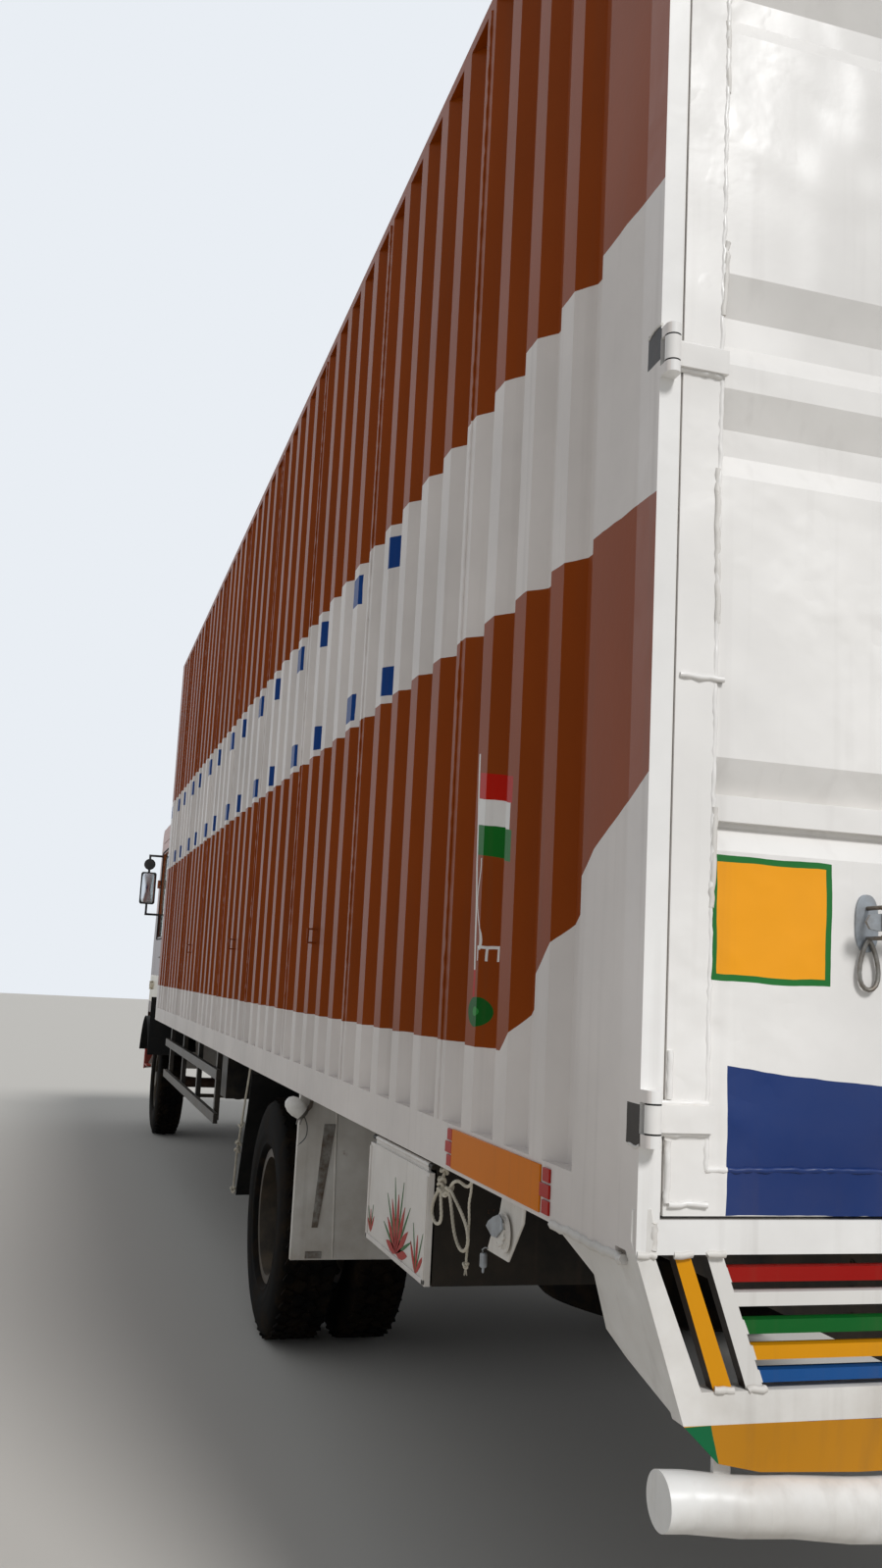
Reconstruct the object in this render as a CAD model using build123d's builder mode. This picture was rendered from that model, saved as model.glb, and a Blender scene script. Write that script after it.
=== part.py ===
from build123d import *
import math
import os

os.makedirs("parts", exist_ok=True)

# Closed steel-body lorry. +X is the lorry's right, +Y forward, +Z up, in millimetres.
# The origin is on the ground, under the middle of the lorry's overall box.

# Lengths along the lorry, from the tail plane forward
body_length = 9750.0
cab_gap = 120.0
cab_length = 2030.0
bumper_depth = 100.0

# Load body
body_width = 2440.0
body_top = 4190.0
rail_bottom = 1083.0
rail_height = 105.0
rail_width = 60.0
top_rail_height = 35.0
post_width = 40.0
post_depth = 80.0
front_post_depth = 60.0
header_height = 80.0
sill_top = 1154.0
sill_height = 54.0
floor_plate = 28.0
bearer_width = 60.0
bearer_pitch = 487.5
bearer_count = 19

# Pressed trapezium wall and roof sheet
sheet = 3.0
groove_pitch = 222.7
groove_first = 354.0
groove_count = 42
groove_flat = 60.0
groove_slope = 45.0
groove_depth = 34.0
front_groove_count = 10
roof_rib_count = 21
roof_rib_pitch = 445.0
roof_rib_flat = 90.0
roof_rib_slope = 25.0
roof_rib_depth = 18.0

# Rear doors
door_gap = 6.0
door_depth = 50.0
hinge_side_gap = 5.0
stile_width = 75.0
meeting_stile = 60.0
door_rail_height = 70.0
panel_setback = 4.0
press_depth = 30.0
hinge_inboard = 213.0
hinge_inset = 14.0
hinge_offset = 20.0
hinge_pin_radius = 8.0
hinge_barrel_radius = 14.0
hinge_height = 90.0
hinge_lug = 20.0
hinge_lug_gap = 3.0
hinge_play = 0.3
strap_reach = 115.0
strap_thickness = 6.0
strap_lift = 5.0
rod_radius = 14.0
rod_standoff = 34.0
rod_guide_wall = 8.0
rod_places = [-620.0, -150.0]
handle_height = 1650.0
handle_length = 215.0

# Chassis and running gear
rail_outer = 430.0
chassis_flange = 70.0
chassis_depth = 220.0
chassis_web = 8.0
chassis_top = 1005.0
rear_overhang = 3840.0
wheelbase = 7060.0
tyre_radius = 492.0
tyre_width = 250.0
tyre_bead_radius = 254.0
dual_spacing = 300.0
front_wheel_centre = 970.0
rear_wheel_outer = 1175.0
kingpin_x = 850.0
kingpin_radius = 20.0
spindle_radius = 45.0
running_gap = 0.3
leaf_thickness = 12.0
leaf_width = 70.0

# Cab
cab_width = 2250.0
cab_floor_bottom = 1085.0
cab_top = 2900.0
cab_wall = 40.0
cab_glass = 6.0
cab_glass_inset = 14.0
cab_door_gap = 6.0
cab_door_rear = 640.0
cab_pillar = 350.0
cab_roof_line = 2760.0
screen_rake = 200.0
screen_foot = 1780.0

# Tail frame below the sill
tail_beam_depth = 40.0
low_beam_bottom = 840.0
low_beam_height = 50.0
bumper_tube_radius = 46.0

# Tool box on the left side
box_start = 1180.0
box_length = 605.0
box_bottom = 790.0
box_inboard = 450.0
box_sheet = 4.0
lid_thickness = 14.0
lid_gap = 5.0

tail_projection = rod_standoff + rod_radius + rod_guide_wall
total_length = tail_projection + body_length + cab_gap + cab_length + bumper_depth
tail_y = tail_projection - total_length / 2
half_body = body_width / 2
half_cab = cab_width / 2
cab_door_front = cab_length - cab_pillar
floor_top = rail_bottom + rail_height
hinge_low = sill_top + 159.0
hinge_high = body_top - hinge_inboard
hinge_middle = 2624.0
hinge_heights = [hinge_low, hinge_middle, hinge_high]
front_y = tail_y + body_length
cab_rear_y = front_y + cab_gap
cab_front_y = cab_rear_y + cab_length
rear_axle_y = tail_y + rear_overhang
front_axle_y = rear_axle_y + wheelbase
axle_height = tyre_radius
chassis_bottom = chassis_top - chassis_depth
chassis_middle = chassis_top - chassis_depth / 2
chassis_start = tail_y + tail_beam_depth
chassis_end = cab_front_y - cab_wall - 5.0
rail_centre = rail_outer - chassis_flange / 2
web_inner = rail_outer - chassis_web
inner_width = half_body - rail_width
frame_start_y = tail_y + post_depth
frame_end_y = front_y - front_post_depth


# A trapezium line of grooves, then the same line one sheet thickness further in
def corrugation(start, end, first, pitch, count, flat, slope, depth):
    line = [(start, 0.0)]
    for index in range(count):
        middle = first + index * pitch
        line.append((middle - flat / 2 - slope, 0.0))
        line.append((middle - flat / 2, depth))
        line.append((middle + flat / 2, depth))
        line.append((middle + flat / 2 + slope, 0.0))
    line.append((end, 0.0))
    return line + [(along, across + sheet) for along, across in reversed(line)]


# Chassis frame: channel rails, channel cross members, front member and towing jaw
cross_stations = [600, 1500, 2250, 3050, 4630, 5700, 6800, 7900, 8900, 9520]
cross_height = 170.0
cross_width = 60.0
front_member_depth = 90.0
jaw_width = 80.0
jaw_plate = 22.0
jaw_height = 680.0
jaw_opening = 60.0
jaw_reach = 125.0
jaw_eye_reach = 85.0
jaw_bore_radius = 18.0
jaw_middle_y = chassis_end + (jaw_reach - front_member_depth) / 2
spare_station = 2250.0
spare_seat = 668.0
spare_post_radius = 35.0

with BuildPart() as chassis_frame:
    with BuildSketch(Plane.XZ.offset(-chassis_start)):
        for side in (-1, 1):
            with Locations((side * rail_centre, chassis_middle)):
                Rectangle(chassis_flange, chassis_depth)
            with Locations((side * (rail_centre - chassis_web), chassis_middle)):
                Rectangle(chassis_flange, chassis_depth - 2 * chassis_web, mode=Mode.SUBTRACT)
    extrude(amount=-(chassis_end - chassis_start))
    with BuildSketch(Plane.YZ.offset(-web_inner)):
        for distance in cross_stations:
            with Locations((tail_y + distance, chassis_middle)):
                Rectangle(cross_width, cross_height)
            with Locations((tail_y + distance + chassis_web, chassis_middle)):
                Rectangle(cross_width, cross_height - 2 * chassis_web, mode=Mode.SUBTRACT)
    extrude(amount=2 * web_inner)
    with Locations((0, chassis_end - front_member_depth / 2, chassis_middle)):
        Box(2 * web_inner, front_member_depth, chassis_depth)
    with BuildSketch(Plane.YZ.offset(-jaw_width / 2)):
        with Locations((chassis_end - front_member_depth / 2, (jaw_height + chassis_middle) / 2)):
            Rectangle(front_member_depth, chassis_middle - jaw_height)
        for level in (-1, 1):
            with Locations((jaw_middle_y, jaw_height + level * (jaw_opening + jaw_plate) / 2)):
                Rectangle(jaw_reach + front_member_depth, jaw_plate)
        with Locations((chassis_end - front_member_depth / 2, jaw_height)):
            Rectangle(front_member_depth, jaw_opening + jaw_plate)
    extrude(amount=jaw_width)
    with Locations((0, chassis_end + jaw_eye_reach, jaw_height)):
        Cylinder(jaw_bore_radius, 2 * (jaw_opening + jaw_plate), mode=Mode.SUBTRACT)
    with BuildSketch(Plane.XY.offset(spare_seat)):
        with Locations((0, tail_y + spare_station)):
            Circle(spare_post_radius)
    extrude(amount=chassis_middle - cross_height / 2 + chassis_web - spare_seat)


# Leaf springs: a stack of ever shorter arcs, with eyes and hangers up to the rail
spring_table = [
    # axle, seat height, leaves, half length, rise of the ends
    ("front", front_axle_y, 502.0, 6, 620.0, 60.0),
    ("rear", rear_axle_y, 575.0, 7, 700.0, 60.0),
]
eye_radius = 24.0
hanger_width = 60.0
clamp_length = 110.0
clamp_height = 14.0

with BuildPart() as leaf_springs:
    for name, axle_y, seat, leaves, half_length, rise in spring_table:
        main_radius = half_length**2 / (2 * rise)
        leaf_middle = seat + clamp_height + leaves * leaf_thickness
        centre_z = leaf_middle + main_radius
        eye_z = centre_z - math.sqrt(main_radius**2 - half_length**2)
        with BuildSketch(Plane.YZ.offset(-leaf_width / 2)):
            for index in range(leaves):
                inner_radius = main_radius + index * leaf_thickness
                outer_radius = inner_radius + leaf_thickness
                reach = half_length * (1 - index / (leaves + 2))
                turn = reach / main_radius
                with BuildLine():
                    low = [
                        (axle_y + outer_radius * math.sin(a), centre_z - outer_radius * math.cos(a))
                        for a in (-turn, 0, turn)
                    ]
                    high = [
                        (axle_y + inner_radius * math.sin(a), centre_z - inner_radius * math.cos(a))
                        for a in (turn, 0, -turn)
                    ]
                    ThreePointArc(*low)
                    Line(low[2], high[0])
                    ThreePointArc(*high)
                    Line(high[2], low[0])
                make_face()
            with Locations((axle_y, seat + clamp_height / 2 + 2)):
                Rectangle(clamp_length, clamp_height + 4)
            for end in (-1, 1):
                with Locations((axle_y + end * half_length, eye_z)):
                    Circle(eye_radius)
                with Locations((axle_y + end * half_length, (eye_z + chassis_bottom) / 2)):
                    Rectangle(hanger_width, chassis_bottom - eye_z)
        extrude(amount=leaf_width)
    add(leaf_springs.part.moved(Location((rail_centre, 0, 0))), mode=Mode.REPLACE)
    mirror(about=Plane.YZ)


# Rear axle: tube, drive housing with its bowl and nose, spring pads and brake plates
rear_tube_radius = 65.0
bowl_radius = 185.0
bowl_width = 210.0
nose_length = 260.0
nose_radius = 70.0
pad_top = 575.0
brake_plate_radius = 200.0
brake_plate_thickness = 10.0
rear_hub_inner = rear_wheel_outer - 2 * tyre_width - (dual_spacing - tyre_width)
rear_wheel_middle = rear_wheel_outer - tyre_width / 2 - dual_spacing / 2
spindle_end = rear_wheel_middle + 90.0

with BuildPart() as rear_axle:
    with BuildSketch(Plane.YZ.offset(-(rear_hub_inner - 10))):
        with Locations((rear_axle_y, axle_height)):
            Circle(rear_tube_radius)
    extrude(amount=2 * (rear_hub_inner - 10))
    with BuildSketch(Plane.YZ.offset(-spindle_end)):
        with Locations((rear_axle_y, axle_height)):
            Circle(spindle_radius)
    extrude(amount=2 * spindle_end)
    with BuildSketch(Plane.XZ.offset(-(rear_axle_y - bowl_width / 2))):
        with Locations((0, axle_height)):
            Circle(bowl_radius)
    extrude(amount=-bowl_width)
    with BuildSketch(Plane.XZ.offset(-(rear_axle_y + bowl_width / 2))):
        with Locations((0, axle_height)):
            Circle(nose_radius * 1.7)
    with BuildSketch(Plane.XZ.offset(-(rear_axle_y + nose_length))):
        with Locations((0, axle_height)):
            Circle(nose_radius)
    loft()
    for side in (-1, 1):
        with Locations((side * rail_centre, rear_axle_y, (axle_height + pad_top) / 2)):
            Box(leaf_width + 20, clamp_length, pad_top - axle_height)
        with BuildSketch(Plane.YZ.offset(side * (rear_hub_inner - 25))):
            with Locations((rear_axle_y, axle_height)):
                Circle(brake_plate_radius)
        extrude(amount=side * brake_plate_thickness)


# Front axle: dropped I-beam between two kingpin bosses
beam_half_width = 40.0
beam_height = 70.0
beam_bottom = 432.0
boss_radius = 48.0
boss_half_height = 50.0
beam_bend = 560.0

with BuildPart() as front_axle:
    with BuildSketch(Plane.XZ.offset(-(front_axle_y - beam_half_width))):
        with BuildLine():
            Polyline(
                (-kingpin_x, axle_height + boss_half_height * 0.8),
                (-kingpin_x, axle_height - boss_half_height * 0.8),
                (-beam_bend - 60, beam_bottom),
                (beam_bend + 60, beam_bottom),
                (kingpin_x, axle_height - boss_half_height * 0.8),
                (kingpin_x, axle_height + boss_half_height * 0.8),
                (beam_bend, beam_bottom + beam_height),
                (-beam_bend, beam_bottom + beam_height),
                close=True,
            )
        make_face()
    extrude(amount=-2 * beam_half_width)
    for face_side in (-1, 1):
        with Locations((0, front_axle_y + face_side * beam_half_width, beam_bottom + beam_height / 2)):
            Box(2 * beam_bend, 44, beam_height - 28, mode=Mode.SUBTRACT)
    for side in (-1, 1):
        with BuildSketch(Plane.XY.offset(axle_height - boss_half_height)):
            with Locations((side * kingpin_x, front_axle_y)):
                Circle(boss_radius)
        extrude(amount=2 * boss_half_height)
        with BuildSketch(Plane.XY.offset(axle_height - 2 * boss_half_height)):
            with Locations((side * kingpin_x, front_axle_y)):
                Circle(kingpin_radius + running_gap)
        extrude(amount=4 * boss_half_height, mode=Mode.SUBTRACT)


# Steering knuckles: fork round the boss, kingpin, spindle, brake plate and steering arm
ear_gap = 3.0
ear_thickness = 30.0
fork_outer = 935.0
fork_plate = 28.0
arm_length = 180.0
arm_height = 400.0
arm_thickness = 26.0
arm_pin_radius = 12.0
front_spindle_end = 1035.0
ear_level = boss_half_height + ear_gap + ear_thickness / 2

with BuildPart() as knuckle_left:
    for level in (-1, 1):
        with BuildSketch(Plane.XY.offset(axle_height + level * ear_level - ear_thickness / 2)):
            with Locations((-kingpin_x, front_axle_y)):
                Circle(boss_radius)
            with Locations(((-kingpin_x - fork_outer) / 2, front_axle_y)):
                Rectangle(fork_outer - kingpin_x, 2 * boss_radius)
        extrude(amount=ear_thickness)
    with Locations((-(fork_outer - fork_plate / 2), front_axle_y, axle_height)):
        Box(fork_plate, 2 * boss_radius, 2 * ear_level + ear_thickness)
    with BuildSketch(Plane.XY.offset(axle_height - ear_level)):
        with Locations((-kingpin_x, front_axle_y)):
            Circle(kingpin_radius)
    extrude(amount=2 * ear_level)
    with BuildSketch(Plane.YZ.offset(-fork_outer)):
        with Locations((front_axle_y, axle_height)):
            Circle(brake_plate_radius)
    extrude(amount=-brake_plate_thickness)
    with BuildSketch(Plane.YZ.offset(-fork_outer)):
        with Locations((front_axle_y, axle_height)):
            Circle(spindle_radius)
    extrude(amount=-(front_spindle_end - fork_outer))
    with BuildSketch(Plane.XY.offset(arm_height - arm_thickness / 2)):
        with BuildLine():
            Polyline(
                (-kingpin_x - 26, front_axle_y),
                (-kingpin_x - 20, front_axle_y - arm_length - 20),
                (-kingpin_x + 20, front_axle_y - arm_length - 20),
                (-kingpin_x + 30, front_axle_y),
                close=True,
            )
        make_face()
    extrude(amount=arm_thickness)
    with BuildSketch(Plane.XY.offset(arm_height - arm_thickness / 2 - 40)):
        with Locations((-kingpin_x, front_axle_y - arm_length)):
            Circle(arm_pin_radius)
    extrude(amount=40)

with BuildPart() as knuckle_right:
    add(knuckle_left.part)
    mirror(about=Plane.YZ, mode=Mode.REPLACE)


# Track rod between the two steering arms
rod_end_radius = 26.0
rod_end_height = 30.0
track_rod_radius = 17.0
rod_level = arm_height - arm_thickness / 2 - 3 - rod_end_height / 2

with BuildPart() as track_rod:
    with BuildSketch(Plane.YZ.offset(-kingpin_x + rod_end_radius / 2)):
        with Locations((front_axle_y - arm_length, rod_level)):
            Circle(track_rod_radius)
    extrude(amount=2 * kingpin_x - rod_end_radius)
    with BuildSketch(Plane.XY.offset(rod_level - rod_end_height / 2)):
        with Locations(
            (-kingpin_x, front_axle_y - arm_length),
            (kingpin_x, front_axle_y - arm_length),
        ):
            Circle(rod_end_radius)
            Circle(arm_pin_radius + running_gap, mode=Mode.SUBTRACT)
    extrude(amount=rod_end_height)
    with BuildSketch(Plane.XY.offset(rod_level - rod_end_height)):
        with Locations(
            (-kingpin_x, front_axle_y - arm_length),
            (kingpin_x, front_axle_y - arm_length),
        ):
            Circle(arm_pin_radius + running_gap)
    extrude(amount=2 * rod_end_height, mode=Mode.SUBTRACT)


# Tyre section: half width and radius, from one bead round the tread to the other
rim_depth = 95.0
rim_wall = 12.0
rim_flange = 22.0
rim_lip = 6.0
tyre_outline = [
    # half width, radius
    (rim_depth - rim_lip - running_gap, tyre_bead_radius + running_gap),
    (rim_depth - rim_lip - running_gap, tyre_bead_radius + rim_flange + 2),
    (116.0, 300.0),
    (tyre_width / 2, 360.0),
    (120.0, 425.0),
    (102.0, 478.0),
    (88.0, tyre_radius),
]


def tyre_points(middle):
    right = [(middle + half, radius) for half, radius in tyre_outline]
    left = [(middle - half, radius) for half, radius in reversed(tyre_outline)]
    return right + left


# Revolves a half section, given as X and radius, about an axle line along X
def wheel_sketch(points, axle_y):
    with BuildSketch(Plane.XZ.offset(-axle_y)) as half_section:
        with BuildLine():
            Polyline(*[(x, axle_height + radius) for x, radius in points], close=True)
        make_face()
    return half_section.sketch


def axle_line(axle_y):
    return Axis((0, axle_y, axle_height), (1, 0, 0))


front_centres = {"left": -front_wheel_centre, "right": front_wheel_centre}
hub_radius = 120.0
hub_hole_count = 8
disc_hole_radius = 30.0
disc_hole_ring = 185.0

with BuildPart() as front_tyre_left:
    revolve(wheel_sketch(tyre_points(-front_wheel_centre), front_axle_y), axis=axle_line(front_axle_y))

with BuildPart() as front_tyre_right:
    add(front_tyre_left.part)
    mirror(about=Plane.YZ, mode=Mode.REPLACE)

rear_outer_centre = rear_wheel_outer - tyre_width / 2
rear_inner_centre = rear_outer_centre - dual_spacing

with BuildPart() as rear_tyres_left:
    for centre in (-rear_outer_centre, -rear_inner_centre):
        revolve(wheel_sketch(tyre_points(centre), rear_axle_y), axis=axle_line(rear_axle_y))

with BuildPart() as rear_tyres_right:
    add(rear_tyres_left.part)
    mirror(about=Plane.YZ, mode=Mode.REPLACE)


# Rim barrel with both flanges, as X and radius about its middle
def barrel_points(middle):
    return [
        (middle - rim_depth, tyre_bead_radius + rim_flange),
        (middle - rim_depth, tyre_bead_radius - rim_wall),
        (middle + rim_depth, tyre_bead_radius - rim_wall),
        (middle + rim_depth, tyre_bead_radius + rim_flange),
        (middle + rim_depth - rim_lip, tyre_bead_radius + rim_flange),
        (middle + rim_depth - rim_lip, tyre_bead_radius),
        (middle - rim_depth + rim_lip, tyre_bead_radius),
        (middle - rim_depth + rim_lip, tyre_bead_radius + rim_flange),
    ]


# Dished disc from the barrel in to the hub face, as X and radius
def disc_points(barrel_x, hub_x):
    return [
        (barrel_x, tyre_bead_radius - rim_wall),
        (barrel_x + 14, tyre_bead_radius - rim_wall),
        (hub_x + 14, hub_radius + 25),
        (hub_x + 14, hub_radius - 20),
        (hub_x, hub_radius - 20),
        (hub_x, hub_radius + 10),
    ]


def hub_points(inner_x, outer_x, cap_x):
    return [
        (inner_x, spindle_radius + running_gap),
        (inner_x, hub_radius),
        (outer_x, hub_radius),
        (outer_x, hub_radius - 40),
        (cap_x, hub_radius - 50),
        (cap_x, 0.0),
        (cap_x - (25 if cap_x > outer_x else -25), 0.0),
        (cap_x - (25 if cap_x > outer_x else -25), spindle_radius + running_gap),
    ]


front_hub_face = front_wheel_centre + 60.0
front_hub_inner = fork_outer + brake_plate_thickness + 5.0
front_cap = front_spindle_end + 45.0

with BuildPart() as front_rim_left:
    revolve(wheel_sketch(barrel_points(-front_wheel_centre), front_axle_y), axis=axle_line(front_axle_y))
    section = disc_points(-front_wheel_centre - 25, -front_hub_face)
    revolve(wheel_sketch(section, front_axle_y), axis=axle_line(front_axle_y))
    section = hub_points(-front_hub_inner, -front_hub_face, -front_cap)
    revolve(wheel_sketch(section, front_axle_y), axis=axle_line(front_axle_y))
    with BuildSketch(Plane.YZ.offset(-front_wheel_centre + 60)):
        with Locations((front_axle_y, axle_height)):
            with PolarLocations(disc_hole_ring, hub_hole_count):
                Circle(disc_hole_radius)
    extrude(amount=-160, mode=Mode.SUBTRACT)

with BuildPart() as front_rim_right:
    add(front_rim_left.part)
    mirror(about=Plane.YZ, mode=Mode.REPLACE)

rear_disc_face = rear_wheel_middle + 16.0
rear_cap = spindle_end + 70.0

with BuildPart() as rear_rims_left:
    for centre in (-rear_outer_centre, -rear_inner_centre):
        revolve(wheel_sketch(barrel_points(centre), rear_axle_y), axis=axle_line(rear_axle_y))
    section = disc_points(-rear_outer_centre + 40, -rear_disc_face)
    revolve(wheel_sketch(section, rear_axle_y), axis=axle_line(rear_axle_y))
    section = disc_points(-rear_inner_centre - 54, -rear_disc_face + 16)
    revolve(wheel_sketch(section, rear_axle_y), axis=axle_line(rear_axle_y))
    section = hub_points(-rear_hub_inner - 10, -rear_disc_face, -rear_cap)
    revolve(wheel_sketch(section, rear_axle_y), axis=axle_line(rear_axle_y))
    with BuildSketch(Plane.YZ.offset(-rear_wheel_middle + 150)):
        with Locations((rear_axle_y, axle_height)):
            with PolarLocations(disc_hole_ring, hub_hole_count):
                Circle(disc_hole_radius)
    extrude(amount=-300, mode=Mode.SUBTRACT)

with BuildPart() as rear_rims_right:
    add(rear_rims_left.part)
    mirror(about=Plane.YZ, mode=Mode.REPLACE)


# Spare wheel lying flat on its post under the tail
spare_middle = spare_seat - 50.0
spare_plate = 14.0
spare_lap = 5.0

with BuildPart() as spare_wheel:
    with BuildSketch(Plane.XZ.offset(-(tail_y + spare_station))):
        with BuildLine():
            Polyline(
                *[(radius, spare_middle + half) for half, radius in tyre_outline],
                *[(radius, spare_middle - half) for half, radius in reversed(tyre_outline)],
                close=True,
            )
        make_face()
        with Locations((tyre_bead_radius - spare_lap, spare_middle)):
            Rectangle(spare_plate, 2 * rim_depth)
        with Locations((tyre_bead_radius / 2, spare_seat - spare_plate / 2)):
            Rectangle(tyre_bead_radius, spare_plate)
    revolve(axis=Axis((0, tail_y + spare_station, 0), (0, 0, 1)))


# Engine and gearbox, one plain block with its two mounting brackets
engine_half_width = 340.0
engine_inset = 400.0
engine_start = cab_rear_y + engine_inset
engine_length = 1300.0
engine_bottom = 620.0
engine_top = 1420.0
gearbox_half_width = 190.0
gearbox_length = 650.0
gearbox_bottom = 610.0
gearbox_top = 990.0
shaft_height_front = 715.0

with BuildPart() as engine_block:
    with Locations((0, engine_start + engine_length / 2, (engine_bottom + engine_top) / 2)):
        Box(2 * engine_half_width, engine_length, engine_top - engine_bottom)
    with Locations((0, engine_start - gearbox_length / 2, (gearbox_bottom + gearbox_top) / 2)):
        Box(2 * gearbox_half_width, gearbox_length, gearbox_top - gearbox_bottom)
    for distance in (300, engine_length - 200):
        with Locations((0, engine_start + distance, chassis_middle)):
            Box(2 * web_inner, 90, 70)


# Propeller shaft in two lengths with a centre bearing under a cross member
shaft_radius = 42.0
joint_radius = 56.0
joint_half = 55.0
shaft_start_y = engine_start - gearbox_length
shaft_end_y = rear_axle_y + nose_length
bearing_station = 6800.0
bearing_y = tail_y + bearing_station
bearing_height = 700.0

with BuildPart() as prop_shaft:
    for near, far in (
        ((0, shaft_start_y - joint_half, shaft_height_front), (0, bearing_y, bearing_height)),
        ((0, bearing_y, bearing_height), (0, shaft_end_y + joint_half, axle_height)),
    ):
        run = Vector(*far) - Vector(*near)
        with BuildSketch(Plane(origin=near, z_dir=run)):
            Circle(shaft_radius)
        extrude(amount=run.length)
    for joint_start, joint_z in (
        (shaft_start_y - 2 * joint_half, shaft_height_front),
        (shaft_end_y, axle_height),
    ):
        with BuildSketch(Plane.XZ.offset(-joint_start)):
            with Locations((0, joint_z)):
                Circle(joint_radius)
        extrude(amount=-2 * joint_half)
    with BuildSketch(Plane.XZ.offset(-(bearing_y - 40))):
        with Locations((0, bearing_height)):
            Circle(joint_radius + 16)
        with Locations((0, (bearing_height + chassis_middle - cross_height / 2) / 2)):
            Rectangle(90, chassis_middle - cross_height / 2 - bearing_height)
    extrude(amount=-80)


# Silencer under the left rail, with inlet and tail pipe
silencer_radius = 115.0
silencer_length = 900.0
silencer_x = -610.0
silencer_z = 640.0
silencer_start = 8700.0
pipe_radius = 38.0

with BuildPart() as exhaust:
    with BuildSketch(Plane.XZ.offset(-(tail_y + silencer_start))):
        with Locations((silencer_x, silencer_z)):
            Circle(silencer_radius)
    extrude(amount=-silencer_length)
    with BuildSketch(Plane.XZ.offset(-(tail_y + silencer_start + silencer_length))):
        with Locations((silencer_x, silencer_z)):
            Circle(pipe_radius)
    extrude(amount=-500)
    with BuildSketch(Plane.YZ.offset(silencer_x)):
        with Locations((tail_y + silencer_start + silencer_length + 500, silencer_z)):
            Circle(pipe_radius)
    extrude(amount=-silencer_x - gearbox_half_width)
    with BuildSketch(Plane.YZ.offset(silencer_x)):
        with Locations((tail_y + silencer_start + 120, silencer_z)):
            Circle(pipe_radius)
    extrude(amount=-480)
    for distance in (150, silencer_length - 150):
        with Locations((
            -rail_outer - 20,
            tail_y + silencer_start + distance,
            (silencer_z + chassis_middle) / 2,
        )):
            Box(40, 50, chassis_middle - silencer_z + 60)
        with Locations(((silencer_x - rail_outer) / 2, tail_y + silencer_start + distance, silencer_z)):
            Box(abs(silencer_x) - rail_outer, 50, 60)


# Fuel tank on the right rail, battery box and air tanks on the left rail
tank_gap = 90.0
tank_width = 560.0
tank_height = 480.0
tank_top = 985.0
tank_start = 6150.0
tank_length = 1500.0
tank_corner = 70.0
tank_bracket = 60.0
air_tank_radius = 125.0
air_tank_length = 620.0
air_tank_z = 800.0
battery_start = 7900.0
battery_length = 560.0
battery_height = 330.0
battery_width = 420.0

with BuildPart() as fuel_tank:
    with BuildSketch(Plane.XZ.offset(-(tail_y + tank_start))):
        with Locations((rail_outer + tank_gap + tank_width / 2, tank_top - tank_height / 2)):
            RectangleRounded(tank_width, tank_height, tank_corner)
    extrude(amount=-tank_length)
    for distance in (300, tank_length - 300):
        with Locations((rail_outer + tank_gap / 2, tail_y + tank_start + distance, chassis_middle)):
            Box(tank_gap, tank_bracket, chassis_depth - 40)

with BuildPart() as battery_and_air_tanks:
    for start in (5250, 6350):
        with BuildSketch(Plane.XZ.offset(-(tail_y + start))):
            with Locations((-rail_outer - tank_gap - air_tank_radius, air_tank_z)):
                Circle(air_tank_radius)
        extrude(amount=-air_tank_length)
        with Locations((-rail_outer - tank_gap, tail_y + start + air_tank_length / 2, air_tank_z + 40)):
            Box(2 * tank_gap, tank_bracket, 60)
    with Locations((
        -rail_outer - tank_gap / 2 - battery_width / 2,
        tail_y + battery_start - battery_length / 2,
        tank_top - battery_height / 2,
    )):
        Box(battery_width, battery_length, battery_height)
    with Locations((
        -rail_outer - tank_gap / 4,
        tail_y + battery_start - battery_length / 2,
        chassis_middle,
    )):
        Box(tank_gap / 2, tank_bracket, chassis_depth - 60)


# Cargo floor: plate on cross bearers, on two long runners over the chassis rails
with BuildPart() as cargo_floor:
    with BuildSketch(Plane.XZ.offset(-frame_start_y)):
        with Locations((0, floor_top - floor_plate / 2)):
            Rectangle(2 * inner_width, floor_plate)
        for side in (-1, 1):
            with Locations((side * rail_centre, (chassis_top + rail_bottom) / 2)):
                Rectangle(chassis_flange, rail_bottom - chassis_top)
    extrude(amount=-(frame_end_y - frame_start_y))
    with BuildSketch(Plane.YZ.offset(-inner_width)):
        for index in range(bearer_count):
            middle_y = tail_y + bearer_pitch * (index + 1)
            with Locations((middle_y, (rail_bottom + floor_top - floor_plate) / 2)):
                Rectangle(bearer_width, floor_top - floor_plate - rail_bottom)
    extrude(amount=2 * inner_width)


# Side walls: pressed sheet between bottom rail, top rail and front post
with BuildPart() as left_side:
    with BuildSketch(Plane.XY.offset(floor_top)):
        outline = corrugation(
            frame_start_y,
            frame_end_y,
            tail_y + groove_first,
            groove_pitch,
            groove_count,
            groove_flat,
            groove_slope,
            groove_depth,
        )
        with BuildLine():
            Polyline(*[(-half_body + across, along) for along, across in outline], close=True)
        make_face()
    extrude(amount=body_top - top_rail_height - floor_top)
    with BuildSketch(Plane.XZ.offset(-frame_start_y)):
        with Locations((-half_body + rail_width / 2, rail_bottom + rail_height / 2)):
            Rectangle(rail_width, rail_height)
        with Locations((-half_body + rail_width / 2, body_top - top_rail_height / 2)):
            Rectangle(rail_width, top_rail_height)
    extrude(amount=-(frame_end_y - frame_start_y))
    with Locations((
        -half_body + rail_width / 2,
        front_y - front_post_depth / 2,
        (body_top + rail_bottom) / 2,
    )):
        Box(rail_width, front_post_depth, body_top - rail_bottom)

with BuildPart() as right_side:
    add(left_side.part)
    mirror(about=Plane.YZ, mode=Mode.REPLACE)


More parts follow.
